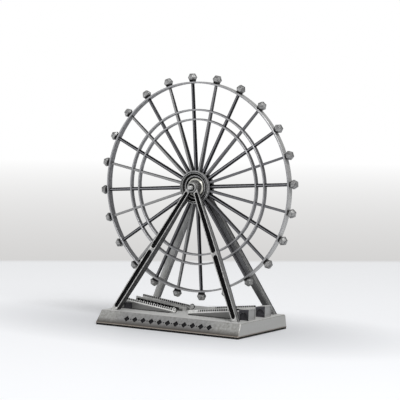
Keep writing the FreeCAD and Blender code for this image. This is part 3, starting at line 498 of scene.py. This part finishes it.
# --- Spacers --------------------------------------------------------------------------------------
# A short ribbed cone on the axle each side of the hub keeps the wheel central. Plated like the
# frames, with the black wash left between the ribs.
spacer_profile = [(2.6, 1.25), (2.6, 3.7), (2.72, 3.9), (2.95, 3.86), (3.05, 3.45), (3.15, 3.45),
                  (3.25, 3.6), (3.45, 3.52), (3.55, 3.1), (3.65, 3.1), (3.75, 3.2), (4.0, 3.05),
                  (4.1, 2.9), (4.1, 1.25), (2.6, 1.25)]
# hardly wiped, so it stays dark grey but for its ribs
dark_pewter = aged_pewter("dark antique pewter", "6a6967", "403f3e", "b0b0ae", cloud=1.5 * MM,
                          hollow=0.8 * MM, edge=0.12 * MM)
for node, facing in (("front_spacer", -1), ("rear_spacer", 1)):
    settle(turned(f"{node}_cone", spacer_profile, dark_pewter, facing, steps=56),
           "stand", node)


# --- Hub ------------------------------------------------------------------------------------------
# A cast barrel holds the roots of the spokes between two lipped flanges. Each flange is
# dished, so the wash lies dark round the raised disc in its middle; its rim is a painted highlight.
wheel_pewter = aged_pewter("mid grey antique pewter", "a4a4a4", "7a7a7a", "e8e8e6", edge=0.16 * MM)
# a painted highlight on the disc's rim, nearly white and a little warm
rim_painted_highlight = aged_pewter("zinc alloy with a painted highlight", "f6f5ea", "dddbce", "fbfaf4", metallic=0.25,
                         roughness=(0.26, 0.4), wash=0.2)
# the barrel between the flanges is painted black, for the wash there and the shade the flanges cast
dress("hub_barrel", black_wash_and_shade)
# a lip with a groove in its top, a dish, a low ring, and the disc in the middle
flange_profile = [(1.75, 1.3), (1.75, 9.6), (1.95, 9.8), (3.3, 9.8), (3.5, 9.72), (3.6, 9.5),
                  (3.6, 9.2), (3.42, 9.05), (3.42, 8.8), (3.6, 8.65), (3.55, 8.4), (3.35, 8.3),
                  (2.3, 8.3), (2.2, 8.15), (2.2, 7.1), (2.5, 6.95), (2.5, 6.35), (2.2, 6.2),
                  (1.95, 6.1), (1.95, 5.35), (2.5, 4.75), (2.5, 4.55), (2.15, 4.4), (2.15, 1.3),
                  (1.75, 1.3)]
FLANGE_BACK = 1.8                        # in mm; no other finish comes nearer the wheel's plane
for node, facing in (("front_hub_flange", -1), ("rear_hub_flange", 1)):
    disc = turned(f"{node}_disc", flange_profile, wheel_pewter, facing, steps=96)
    for near, far, finish in ((8.7, 9.15, black_wash_and_shade), (7.15, 8.25, black_wash_and_shade),
                              (5.4, 6.3, black_wash_and_shade), (4.45, 5.3, rim_painted_highlight)):
        paint(disc, lambda middle: near * MM < (middle - hub).xz.length < far * MM
              and abs(middle.y - hub.y) > FLANGE_BACK * MM, finish)
    settle(disc, "wheel", node)


# --- Spokes ---------------------------------------------------------------------------------------
# Twelve tapered round rods, gunmetal dark with a pale line painted along the front and back as a
# highlight, and between them twelve slats with dark sides and faces painted pale as lit. All go
# through the inner rings into the rim.
front_painted_highlight = [("facing", FRONT, 0.92, 0.98)]
back_painted_highlight = [("facing", BACK, 0.92, 0.98)]
# blue-black, with a narrow grey line painted as a highlight
dress("main_spokes", aged_pewter("gunmetal plating", "1c1c20", "101014", "1c1c20", metallic=0.6,
                                 roughness=(0.3, 0.42), edge=0.05 * MM,
                                 washes_and_painted_light=[("7c7c80", front_painted_highlight), ("7c7c80", back_painted_highlight)]))
# flat grey faces painted pale as lit between near-black sides; the faces on the right are
# painted darker as shade
right_painted_shade = front_painted_highlight + [("place", RIGHT, 0, 15 * MM)]
dress("intermediate_spokes", aged_pewter("dark pewter plating", "2a2a2c", "1a1a1c", "3a3a3c",
                                         edge=0.3 * MM,
                                         washes_and_painted_light=[("9a9a9a", front_painted_highlight), ("6e6e72", right_painted_shade),
                                                 ("909090", back_painted_highlight)]))


# --- Rim and rings --------------------------------------------------------------------------------
# Three flat hoops, plated as old pewter. The outer skin of the rim is painted pale as lit, that of
# the inner rings dark as shade, and a thin pale line is painted along every front edge as a
# highlight.
front_edge_highlight = [("facing", FRONT, 0.5, 0.8)]
for node, painted_skin_tone in (("outer_rim", "bcbcbb"), ("middle_ring", "6c6c6e"), ("inner_ring", "6c6c6e")):
    low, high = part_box(node)
    outer_radius = (high.x - low.x) / 2
    outer_skin_lighting = [("reach", hub, outer_radius - 0.12 * MM, outer_radius - 0.06 * MM)]
    dress(node, aged_pewter(f"antique pewter, {node}", "828284", "5e5e60", "828284",
                            edge=0.05 * MM, washes_and_painted_light=[("a8a8aa", front_edge_highlight), (painted_skin_tone, outer_skin_lighting)]))


# --- Capsules -------------------------------------------------------------------------------------
# Twenty-four cabins, cast as six-sided faceted beads on a short cup that is soldered to the rim.
# Their facets are wiped pale, and shade is painted on them: dark lines along the facet edges,
# near black next to the rim, and almost black on the cup.
CAPSULES = 24
PARK_ANGLE = math.radians(4.4)           # how far the first capsule stands above the hub's level
BEAD_REACH = 64.6 * MM                   # from the wheel's axis to the middle of a bead
BEAD_RINGS = ((-2.4, 1.55), (-0.8, 2.75), (0.8, 2.75), (2.4, 1.55))   # (along Y, radius) in mm
CUP_ROOT, CUP_LIP = 61.9 * MM, 63.0 * MM    # from the wheel's axis
CUP_ROOT_SIZE = (2.4 * MM, 2.6 * MM)        # along Y, and round the rim
CUP_FLARE = (3.0 / 2.4, 3.2 / 2.6)
bead_middle = hub + Vector((BEAD_REACH, 0, 0))
# the bead is painted near black next to the rim, as the shade there
painted_shade_near_rim = [("reach", hub, 63.9 * MM, 63.3 * MM)]
# bright facets with dark lines painted between them as shade
capsule_pewter = aged_pewter("faceted antique pewter", "aeaead", "6c6c6c", "2a2a2c", cloud=1.8 * MM,
                             edge=0.26 * MM, metallic=0.65, roughness=(0.32, 0.46),
                             washes_and_painted_light=[("161517", painted_shade_near_rim)])
# the cup is painted almost black, as the shade under the bead
cup_painted_shade = aged_pewter("pewter cup painted in shade", "2c2b2e", "19181a", "6a6a6b", cloud=1.5 * MM)
clear()
bpy.ops.mesh.primitive_circle_add(vertices=6, radius=BEAD_RINGS[0][1] * MM, fill_type="NGON",
                                  rotation=(math.pi / 2, 0, 0),
                                  location=bead_middle + Vector((0, BEAD_RINGS[0][0] * MM, 0)))
bead = fresh("bead", capsule_pewter)
bpy.ops.object.mode_set(mode="EDIT")
bpy.ops.mesh.select_mode(type="FACE")
bpy.ops.mesh.select_all(action="SELECT")
for (out, radius), (next_out, next_radius) in zip(BEAD_RINGS, BEAD_RINGS[1:]):
    step = (0, (next_out - out) * MM, 0)
    bpy.ops.mesh.extrude_region_move(TRANSFORM_OT_translate={"value": step})
    grow = next_radius / radius
    bpy.ops.transform.resize(value=(grow, 1, grow), center_override=bead_middle)
bpy.ops.mesh.select_all(action="SELECT")
bpy.ops.mesh.normals_make_consistent(inside=False)
ease(bead, 0.08 * MM, segments=1)
cup_depth, cup_span = CUP_ROOT_SIZE
cup = block("cup", hub + Vector((CUP_ROOT, -cup_depth / 2, -cup_span / 2)),
            hub + Vector((CUP_LIP, cup_depth / 2, cup_span / 2)), cup_painted_shade)
pick(cup, lambda corner: corner.x > hub.x + (CUP_ROOT + CUP_LIP) / 2)
bpy.ops.transform.resize(value=(1, *CUP_FLARE), center_override=hub)
ease(cup, 0.1 * MM)
cabin = join("cabin", [bead, cup])
for number in range(CAPSULES):
    node = f"capsule_{number + 1:02d}"
    alone(cabin)
    bpy.ops.object.duplicate()
    copy = bpy.context.object
    copy.name = f"{node}_cabin"
    turn = Matrix.Rotation(-(PARK_ANGLE + 2 * math.pi * number / CAPSULES), 4, "Y")
    copy.matrix_world = Matrix.Translation(hub) @ turn @ Matrix.Translation(-hub)
    alone(copy)
    bpy.ops.object.transform_apply(location=True, rotation=True, scale=True)
    settle(copy, "wheel", node, crease=12)
bpy.data.objects.remove(cabin)


# --- Boarding ramps -------------------------------------------------------------------------------
# Four castings pegged to the deck, each a wedge with a boarded trough between two low walls. The
# left ones have a square door, or a kerb over a sunk band; the right ones end in a block with an
# arched door.
RISE = 0.1184                            # mm up for each mm out along the plinth
SLOPE_START = deck_z + 0.35 * MM         # the slope's height at the middle of the plinth
RAMP_WALL, RAMP_SINK = 1.0 * MM, 0.5 * MM
BLOCK_START, BLOCK_RISE = 38.8 * MM, 1.0 * MM
BLOCK_BORDER, BLOCK_SINK = 0.7 * MM, 0.25 * MM
DOOR_WIDTH, DOOR_SILL, DOOR_SINK = 5.6 * MM, 0.2 * MM, 0.7 * MM
SQUARE_DOOR_START, SQUARE_DOOR_HEIGHT = 34.2 * MM, 3.7 * MM
ROUND_DOOR_START, ROUND_DOOR_SPRING = 39.2 * MM, 1.8 * MM   # the arch springs at this height
KERB_RUN_ON, KERB_RISE = 2.3 * MM, 1.3 * MM
BAND_START, BAND_MARGIN, BAND_SILL, BAND_RISE = 9.5 * MM, 1.0 * MM, 0.5 * MM, 0.4 * MM
BAND_SINK, BAR_SINK = 0.7 * MM, 0.4 * MM     # from the kerb's face to the band, and to its bars
BAR_START, BAR_PITCH, BAR_WIDTH, BAR_SLANT = 12 * MM, 2.4 * MM, 0.3 * MM, 0.9 * MM
BOARD_PITCH, BOARD_WIDTH, BOARD_HEIGHT, BOARD_MARGIN = 1.6 * MM, 0.7 * MM, 0.22 * MM, 0.8 * MM
LET_IN = 0.05 * MM                       # how far a batten goes into the walls
looks_front = ("facing", FRONT, 0.6, 0.9)
# fronts are painted darker as shade, their feet black as shadow, and tops pale as lit
front_wall_shade = [looks_front]
right_wall_shade = [looks_front, ("place", RIGHT, 0, 1 * MM)]   # these are a shade paler
block_front_shade = [looks_front, ("place", RIGHT, 38.6 * MM, 38.9 * MM)]
wall_foot_shadow = [looks_front, ("place", DOWN, -deck_z - 0.7 * MM, -deck_z - 0.3 * MM)]
ramp_top_light = [("facing", UP, 0.85, 0.97)]
block_end_light = [("facing", RIGHT, 0.8, 0.95)]
# painted light and shade: grey front walls, darker block fronts, black wall feet, near-white tops
ramp_pewter = aged_pewter("antique pewter with painted light and shade", "b4b4b2", "8c8b8a", "d6d6d4", edge=0.14 * MM,
                          washes_and_painted_light=[("747473", front_wall_shade), ("757574", right_wall_shade),
                                  ("55545a", block_front_shade), ("1f1e20", wall_foot_shadow),
                                  ("e6e6e4", ramp_top_light), ("a4a4a3", block_end_light)])
# a thin even coat of the wash, slate grey and matt
door_wash = aged_pewter("slate grey wash", "35343a", "26252a", "5a595e", metallic=0.0,
                        roughness=(0.6, 0.8), wash=0.5)


def slope_z(x):
    """The height of the ramps' slope at a place along X."""
    return SLOPE_START + RISE * abs(x)


def wedge(name, side, near, far, front, back, bottoms, tops, material):
    """A bar out from near to far along X, with its own bottom and top heights at each end."""
    low_x, high_x = sorted((side * near, side * far))
    piece = block(name, (low_x, front, 0), (high_x, back, 1), material)
    for place, bottom, top in ((near, bottoms[0], tops[0]), (far, bottoms[1], tops[1])):
        for end, height in ((0, bottom), (1, top)):
            pick(piece, lambda corner: abs(corner.x - side * place) < HAIR
                 and abs(corner.z - end) < HAIR)
            bpy.ops.transform.translate(value=(0, 0, height - end))
    bpy.ops.object.mode_set(mode="OBJECT")
    return piece


def sloping(name, side, near, far, front, back, below, above, material):
    """A bar that follows the slope, between two heights measured from it."""
    return wedge(name, side, near, far, front, back,
                 [slope_z(place) + below for place in (near, far)],
                 [slope_z(place) + above for place in (near, far)], material)


def standing(name, side, near, far, front, back, above, material):
    """A bar that stands on the deck and reaches a height above the slope."""
    return wedge(name, side, near, far, front, back, (deck_z, deck_z),
                 [slope_z(place) + above for place in (near, far)], material)


def door_tool(side, start, face, height, arched):
    """A doorway cutter that sinks into the front wall; an arch goes on above its height."""
    low_x, high_x = sorted((side * start, side * (start + DOOR_WIDTH)))
    sill_z = deck_z + DOOR_SILL
    tool = block("door tool", (low_x, face - DOOR_SINK, sill_z),
                 (high_x, face + DOOR_SINK, sill_z + height), door_wash)
    if arched:
        clear()
        bpy.ops.mesh.primitive_cylinder_add(vertices=32, radius=DOOR_WIDTH / 2, depth=2 * DOOR_SINK,
                                            rotation=(math.pi / 2, 0, 0),
                                            location=((low_x + high_x) / 2, face, sill_z + height))
        carve(tool, fresh("arch tool", door_wash), "UNION")
    return tool


def boards(side, near, far, front, back):
    """The cross battens of the trough: one low bar, repeated up the slope."""
    first = sloping("batten", side, near, near + BOARD_WIDTH, front, back,
                    -RAMP_SINK - 2 * LET_IN, -RAMP_SINK + BOARD_HEIGHT, ramp_pewter)
    ease(first, 0.07 * MM, segments=1)
    modify(first, "ARRAY", count=int((far - near) / BOARD_PITCH), use_relative_offset=False,
           use_constant_offset=True,
           constant_offset_displace=(side * BOARD_PITCH, 0, RISE * BOARD_PITCH))
    return first


for node, side in (("ramp_front_left", -1), ("ramp_front_right", 1), ("ramp_rear_left", -1),
                   ("ramp_rear_right", 1)):
    low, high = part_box(node)
    face, back_y = low.y, high.y
    tip, end = sorted((abs(low.x), abs(high.x)))
    has_kerb = node == "ramp_rear_left"
    if has_kerb:
        tip += KERB_RUN_ON
    # the slope of a right ramp runs only a little way into its block
    body_end = BLOCK_START + 0.4 * MM if side > 0 else end
    trough_end = BLOCK_START if side > 0 else end - RAMP_WALL
    body = standing("body", side, tip, body_end, face, back_y, 0, ramp_pewter)
    if side > 0:
        end_block = standing("block", side, BLOCK_START, end, face, back_y, BLOCK_RISE, ramp_pewter)
        carve(body, end_block, "UNION")
        carve(body, door_tool(side, ROUND_DOOR_START, face, ROUND_DOOR_SPRING, arched=True))
    elif not has_kerb:
        carve(body, door_tool(side, SQUARE_DOOR_START, face, SQUARE_DOOR_HEIGHT, arched=False))
    carve(body, sloping("trough tool", side, tip - 1 * MM, trough_end, face + RAMP_WALL,
                        back_y - RAMP_WALL, -RAMP_SINK, 2 * MM, ramp_pewter))
    extras = [boards(side, tip + BOARD_MARGIN, trough_end - BOARD_MARGIN,
                     face + RAMP_WALL - LET_IN, back_y - RAMP_WALL + LET_IN)]
    if has_kerb:
        kerb = standing("kerb", side, tip - KERB_RUN_ON, end, face, face + RAMP_WALL, KERB_RISE,
                        frame_pewter)
        carve(body, kerb, "UNION")
        # the band sunk under the kerb keeps the black wash, which also paints the kerb's shade
        band_ends = (BAND_START, end - BAND_MARGIN)
        carve(body, wedge("band tool", side, *band_ends, face - 1 * MM, face + BAND_SINK,
                          (deck_z + BAND_SILL,) * 2,
                          [slope_z(place) + BAND_RISE for place in band_ends], black_wash_and_shade))
        # slanting bars stand in the sunk band
        for step in range(int((end - BAND_MARGIN - BAR_START) / BAR_PITCH)):
            place = BAR_START + step * BAR_PITCH
            bar = wedge("bar", side, place, place + BAR_WIDTH, face + BAR_SINK,
                        face + BAND_SINK + 0.1 * MM, (deck_z + BAND_SILL - 0.1 * MM,) * 2,
                        (slope_z(place) + BAND_RISE + 0.1 * MM,) * 2, ramp_pewter)
            pick(bar, lambda corner: corner.z > deck_z + BAND_SILL + 0.1 * MM)
            bpy.ops.transform.translate(value=(side * BAR_SLANT, 0, 0))
            ease(bar, 0.06 * MM, segments=1)
            extras.append(bar)
    if side > 0:
        # the end face has a sunk panel inside a narrow frame
        pick(body, lambda middle: abs(middle.x - end) < HAIR, "FACE")
        bpy.ops.mesh.inset(thickness=BLOCK_BORDER)
        bpy.ops.mesh.extrude_region_move(TRANSFORM_OT_translate={"value": (-BLOCK_SINK, 0, 0)})
        bpy.ops.object.mode_set(mode="OBJECT")
    ease(body, 0.1 * MM)
    settle(join(f"{node}_casting", [body] + extras), "stand", node)


# --- Rails ----------------------------------------------------------------------------------------
# A cast strip along one wall of each ramp: a low bar with a row of rubbed beads on it, and behind
# them a black web that paints the shade in the gaps. The two left strips end in a small scroll at
# their low end.
BEAD_PITCH, BEAD_WIDTH, BEAD_DEPTH = 1.45 * MM, 0.5 * MM, 0.66 * MM
RAIL_HEIGHT, BAR_HEIGHT = 1.9 * MM, 0.75 * MM
WEB_DROP, WEB_HALF = 0.2 * MM, 0.28 * MM     # below the beads' tops, and half its thickness
SCROLL_RADIUS, SCROLL_WIRE, SCROLL_EYE = 1.3 * MM, 0.4 * MM, 0.5 * MM
SCROLL_PLACE, SCROLL_LIFT, SCROLL_STRETCH = 4.9 * MM, 2.1 * MM, 1.15
# tin-white and matt, since fingers rub the beads more than anything else
bead_pewter = aged_pewter("tin-white pewter", "f2f2f0", "d2d2d0", "fafaf8", cloud=1.5 * MM,
                          hollow=0.5 * MM, edge=0.12 * MM, metallic=0.0)
# each strip starts, and has its first bead, this far out from the middle of the plinth
for node, side, start, plain in (("rail_front_left", -1, 6.0 * MM, 7.0 * MM),
                                 ("rail_front_right", 1, 4.8 * MM, 11.5 * MM),
                                 ("rail_rear_left", -1, 6.2 * MM, 7.0 * MM),
                                 ("rail_rear_right", 1, 7.0 * MM, 11.8 * MM)):
    low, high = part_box(node)
    end = max(abs(low.x), abs(high.x)) - HAIR
    middle_y = (low.y + high.y) / 2
    bar = sloping("bar", side, start, end, low.y, high.y, HAIR, BAR_HEIGHT, bead_pewter)
    if plain - start > 2 * MM:
        # a bare strip leads in to the beads
        lead = sloping("lead", side, start, plain, low.y + 0.1 * MM, high.y - 0.1 * MM, 0.3 * MM,
                       RAIL_HEIGHT - 0.05 * MM, bead_pewter)
        carve(bar, lead, "UNION")
    ease(bar, 0.1 * MM)
    # a black web behind the beads, painted shade in the gaps between them
    shade_web = sloping("shade_web", side, plain, end - 0.2 * MM, middle_y - WEB_HALF, middle_y + WEB_HALF,
                  BAR_HEIGHT - 0.1 * MM, RAIL_HEIGHT - WEB_DROP, black_wash_and_shade)
    ease(shade_web, 0.04 * MM, segments=1)
    first = plain + BEAD_PITCH / 2
    beads = block("beads", (side * first - BEAD_WIDTH / 2, middle_y - BEAD_DEPTH / 2,
                            slope_z(first) + BAR_HEIGHT - 0.1 * MM),
                  (side * first + BEAD_WIDTH / 2, middle_y + BEAD_DEPTH / 2,
                   slope_z(first) + RAIL_HEIGHT), bead_pewter)
    ease(beads, 0.08 * MM)
    modify(beads, "ARRAY", count=int((end - plain) / BEAD_PITCH), use_relative_offset=False,
           use_constant_offset=True,
           constant_offset_displace=(side * BEAD_PITCH, 0, RISE * BEAD_PITCH))
    parts = [bar, shade_web, beads]
    if side < 0:
        scroll_middle = Vector((-SCROLL_PLACE, middle_y, deck_z + SCROLL_LIFT))
        clear()
        bpy.ops.mesh.primitive_torus_add(location=scroll_middle, rotation=(math.pi / 2, 0, 0),
                                         major_radius=SCROLL_RADIUS, minor_radius=SCROLL_WIRE,
                                         major_segments=36, minor_segments=10)
        ring = fresh("scroll", bead_pewter)
        # the outer side of the ring is painted black as shade
        shade_outline_reach = SCROLL_RADIUS + 0.6 * SCROLL_WIRE
        paint(ring, lambda middle: (middle - scroll_middle).length > shade_outline_reach, black_wash_and_shade)
        bpy.ops.object.mode_set(mode="EDIT")
        bpy.ops.mesh.select_all(action="SELECT")
        bpy.ops.transform.resize(value=(1, SCROLL_STRETCH, 1), center_override=scroll_middle)
        clear()
        bpy.ops.mesh.primitive_uv_sphere_add(segments=12, ring_count=8, radius=SCROLL_EYE,
                                             location=scroll_middle)
        eye = fresh("scroll eye", bead_pewter)
        parts += [ring, eye]
    settle(join(f"{node}_strip", parts), "stand", node)


# --- Table and backdrop ---------------------------------------------------------------------------
# A white laminate table with a soft sheen, and behind its far edge a pale room that brightens
# upwards. The camera and the metal see the pale tones; the lamps light the object at a plain level.
EDGE_TURN = math.radians(43.45)          # how far the table's far edge is turned from the X axis
TABLE_REACH = 0.365                      # metres from the object to the table's far edge
ROOM_REACH = 1.9                         # metres to where the room is white
SHADE_NEAR, SHADE_FAR = 0.03, 0.1        # metres over which the shade round the plinth fades
clear()
bpy.ops.mesh.primitive_plane_add(size=12)
floor = bpy.context.object
floor.name = "floor"
laminate = bpy.data.materials.new("white laminate")
laminate.use_nodes = True
floor_tree = laminate.node_tree
floor_shader = floor_tree.nodes["Principled BSDF"]
floor_place = add_node(floor_tree, "TexCoord", out="Object")
across_edge = (-math.sin(EDGE_TURN), math.cos(EDGE_TURN), 0)
beyond = add_node(floor_tree, "VectorMath", {0: floor_place, 1: across_edge}, out="Value",
                  operation="DOT_PRODUCT")
table_share = add_node(floor_tree, "MapRange", {"Value": beyond, "From Min": TABLE_REACH + 0.01,
                                                "From Max": TABLE_REACH - 0.01})
room_share = add_node(floor_tree, "MapRange", {"Value": beyond, "From Min": TABLE_REACH,
                                               "From Max": ROOM_REACH})
room = add_node(floor_tree, "Mix", {0: room_share, 6: colour("d5d4d3"), 7: colour("ffffff")}, out=2,
                data_type="RGBA")
floor_shader.inputs["Base Color"].default_value = colour("c9cbcf")
floor_shader.inputs["Roughness"].default_value = 0.45
rays = add_node(floor_tree, "LightPath").node
seen = add_node(floor_tree, "Math", {0: rays.outputs["Is Camera Ray"],
                                     1: rays.outputs["Is Glossy Ray"]}, operation="MAXIMUM")
seen = add_node(floor_tree, "Math", {0: seen, 1: rays.outputs["Is Transmission Ray"]},
                operation="MAXIMUM")
# the table is lifted to white where it is seen, and less so close round the plinth, as a painted
# shadow
away = add_node(floor_tree, "VectorMath", {0: floor_place, 1: (0.6, 1, 0)}, operation="MULTIPLY")
away = add_node(floor_tree, "VectorMath", {0: away}, out="Value", operation="LENGTH")
lift_level = add_node(floor_tree, "MapRange", {"Value": away, "From Min": SHADE_NEAR,
                                               "From Max": SHADE_FAR, "To Min": 0.14,
                                               "To Max": 0.42})
lift_strength = add_node(floor_tree, "Math", {0: seen, 1: lift_level}, operation="MULTIPLY")
lift = add_node(floor_tree, "Emission", {"Color": colour("ffffff"), "Strength": lift_strength})
table = add_node(floor_tree, "AddShader", {0: floor_shader.outputs[0], 1: lift})
far_wall = add_node(floor_tree, "Emission", {"Color": room})
whole = add_node(floor_tree, "MixShader", {0: table_share, 1: far_wall, 2: table})
floor_tree.links.new(whole, floor_tree.nodes["Material Output"].inputs["Surface"])
floor.data.materials.append(laminate)

# the room lights the metal, more from above than from the level of the table
world = bpy.data.worlds.new("studio")
bpy.context.scene.world = world
world.use_nodes = True
sky_tree = world.node_tree
sky_place = add_node(sky_tree, "TexCoord", out="Generated")
height = add_node(sky_tree, "SeparateXYZ", {0: sky_place}, out="Z")
glow = add_node(sky_tree, "MapRange", {"Value": height, "From Min": -0.1, "From Max": 0.9,
                                       "To Min": 0.14, "To Max": 0.5})
seen_directly = add_node(sky_tree, "LightPath", out="Is Camera Ray")
strength = add_node(sky_tree, "Mix", {0: seen_directly, 2: glow, 3: 1.0}, data_type="FLOAT")
sky = sky_tree.nodes["Background"]
sky.inputs["Color"].default_value = colour("ffffff")
sky_tree.links.new(strength, sky.inputs["Strength"])


# --- Lamps ----------------------------------------------------------------------------------------
# A soft box high on the right is the main light, and a weaker one stands low on the left, in front.
# Each has its way from the hub, its distance and size in metres, and its power in watts.
for name, way, distance, size, power in (("right soft box", (0.55, -0.35, 0.75), 1.1, 0.45, 8.0),
                                         ("left soft box", (-0.6, -0.75, 0.3), 1.0, 0.5, 1.6)):
    lamp = bpy.data.lights.new(name, "AREA")
    lamp.size = size
    lamp.energy = power
    holder = bpy.data.objects.new(name, lamp)
    holder.location = hub + Vector(way).normalized() * distance
    holder.rotation_euler = Vector(way).to_track_quat("Z", "Y").to_euler()
    bpy.context.scene.collection.objects.link(holder)


# --- Camera ---------------------------------------------------------------------------------------
# A long lens a little over a metre away, to the right of the front. It looks slightly down on the
# wheel from about the height of the topmost capsule, and is held a degree or so off the level.
CAMERA_TURN = math.radians(30.45)
CAMERA_RISE = math.radians(4.04)
CAMERA_ROLL = math.radians(1.45)
CAMERA_DISTANCE = 1.103                  # metres
CAMERA_LENS = 168.75                     # mm of focal length
camera_aim = Vector((3.86, 0.0, 75.32)) * MM
back = Vector((math.sin(CAMERA_TURN) * math.cos(CAMERA_RISE),
               -math.cos(CAMERA_TURN) * math.cos(CAMERA_RISE),
               math.sin(CAMERA_RISE)))
right = Vector((0, 0, 1)).cross(back).normalized()
up = back.cross(right)
level = Matrix((right, up, back)).transposed().to_4x4()
camera_data = bpy.data.cameras.new("camera")
camera_data.lens = CAMERA_LENS
camera_data.clip_start = 0.05
camera = bpy.data.objects.new("camera", camera_data)
camera.matrix_world = (Matrix.Translation(camera_aim + back * CAMERA_DISTANCE)
                       @ level @ Matrix.Rotation(CAMERA_ROLL, 4, "Z"))
bpy.context.scene.collection.objects.link(camera)
bpy.context.scene.camera = camera
bpy.context.scene.view_settings.view_transform = "Standard"

bpy.context.view_layer.update()
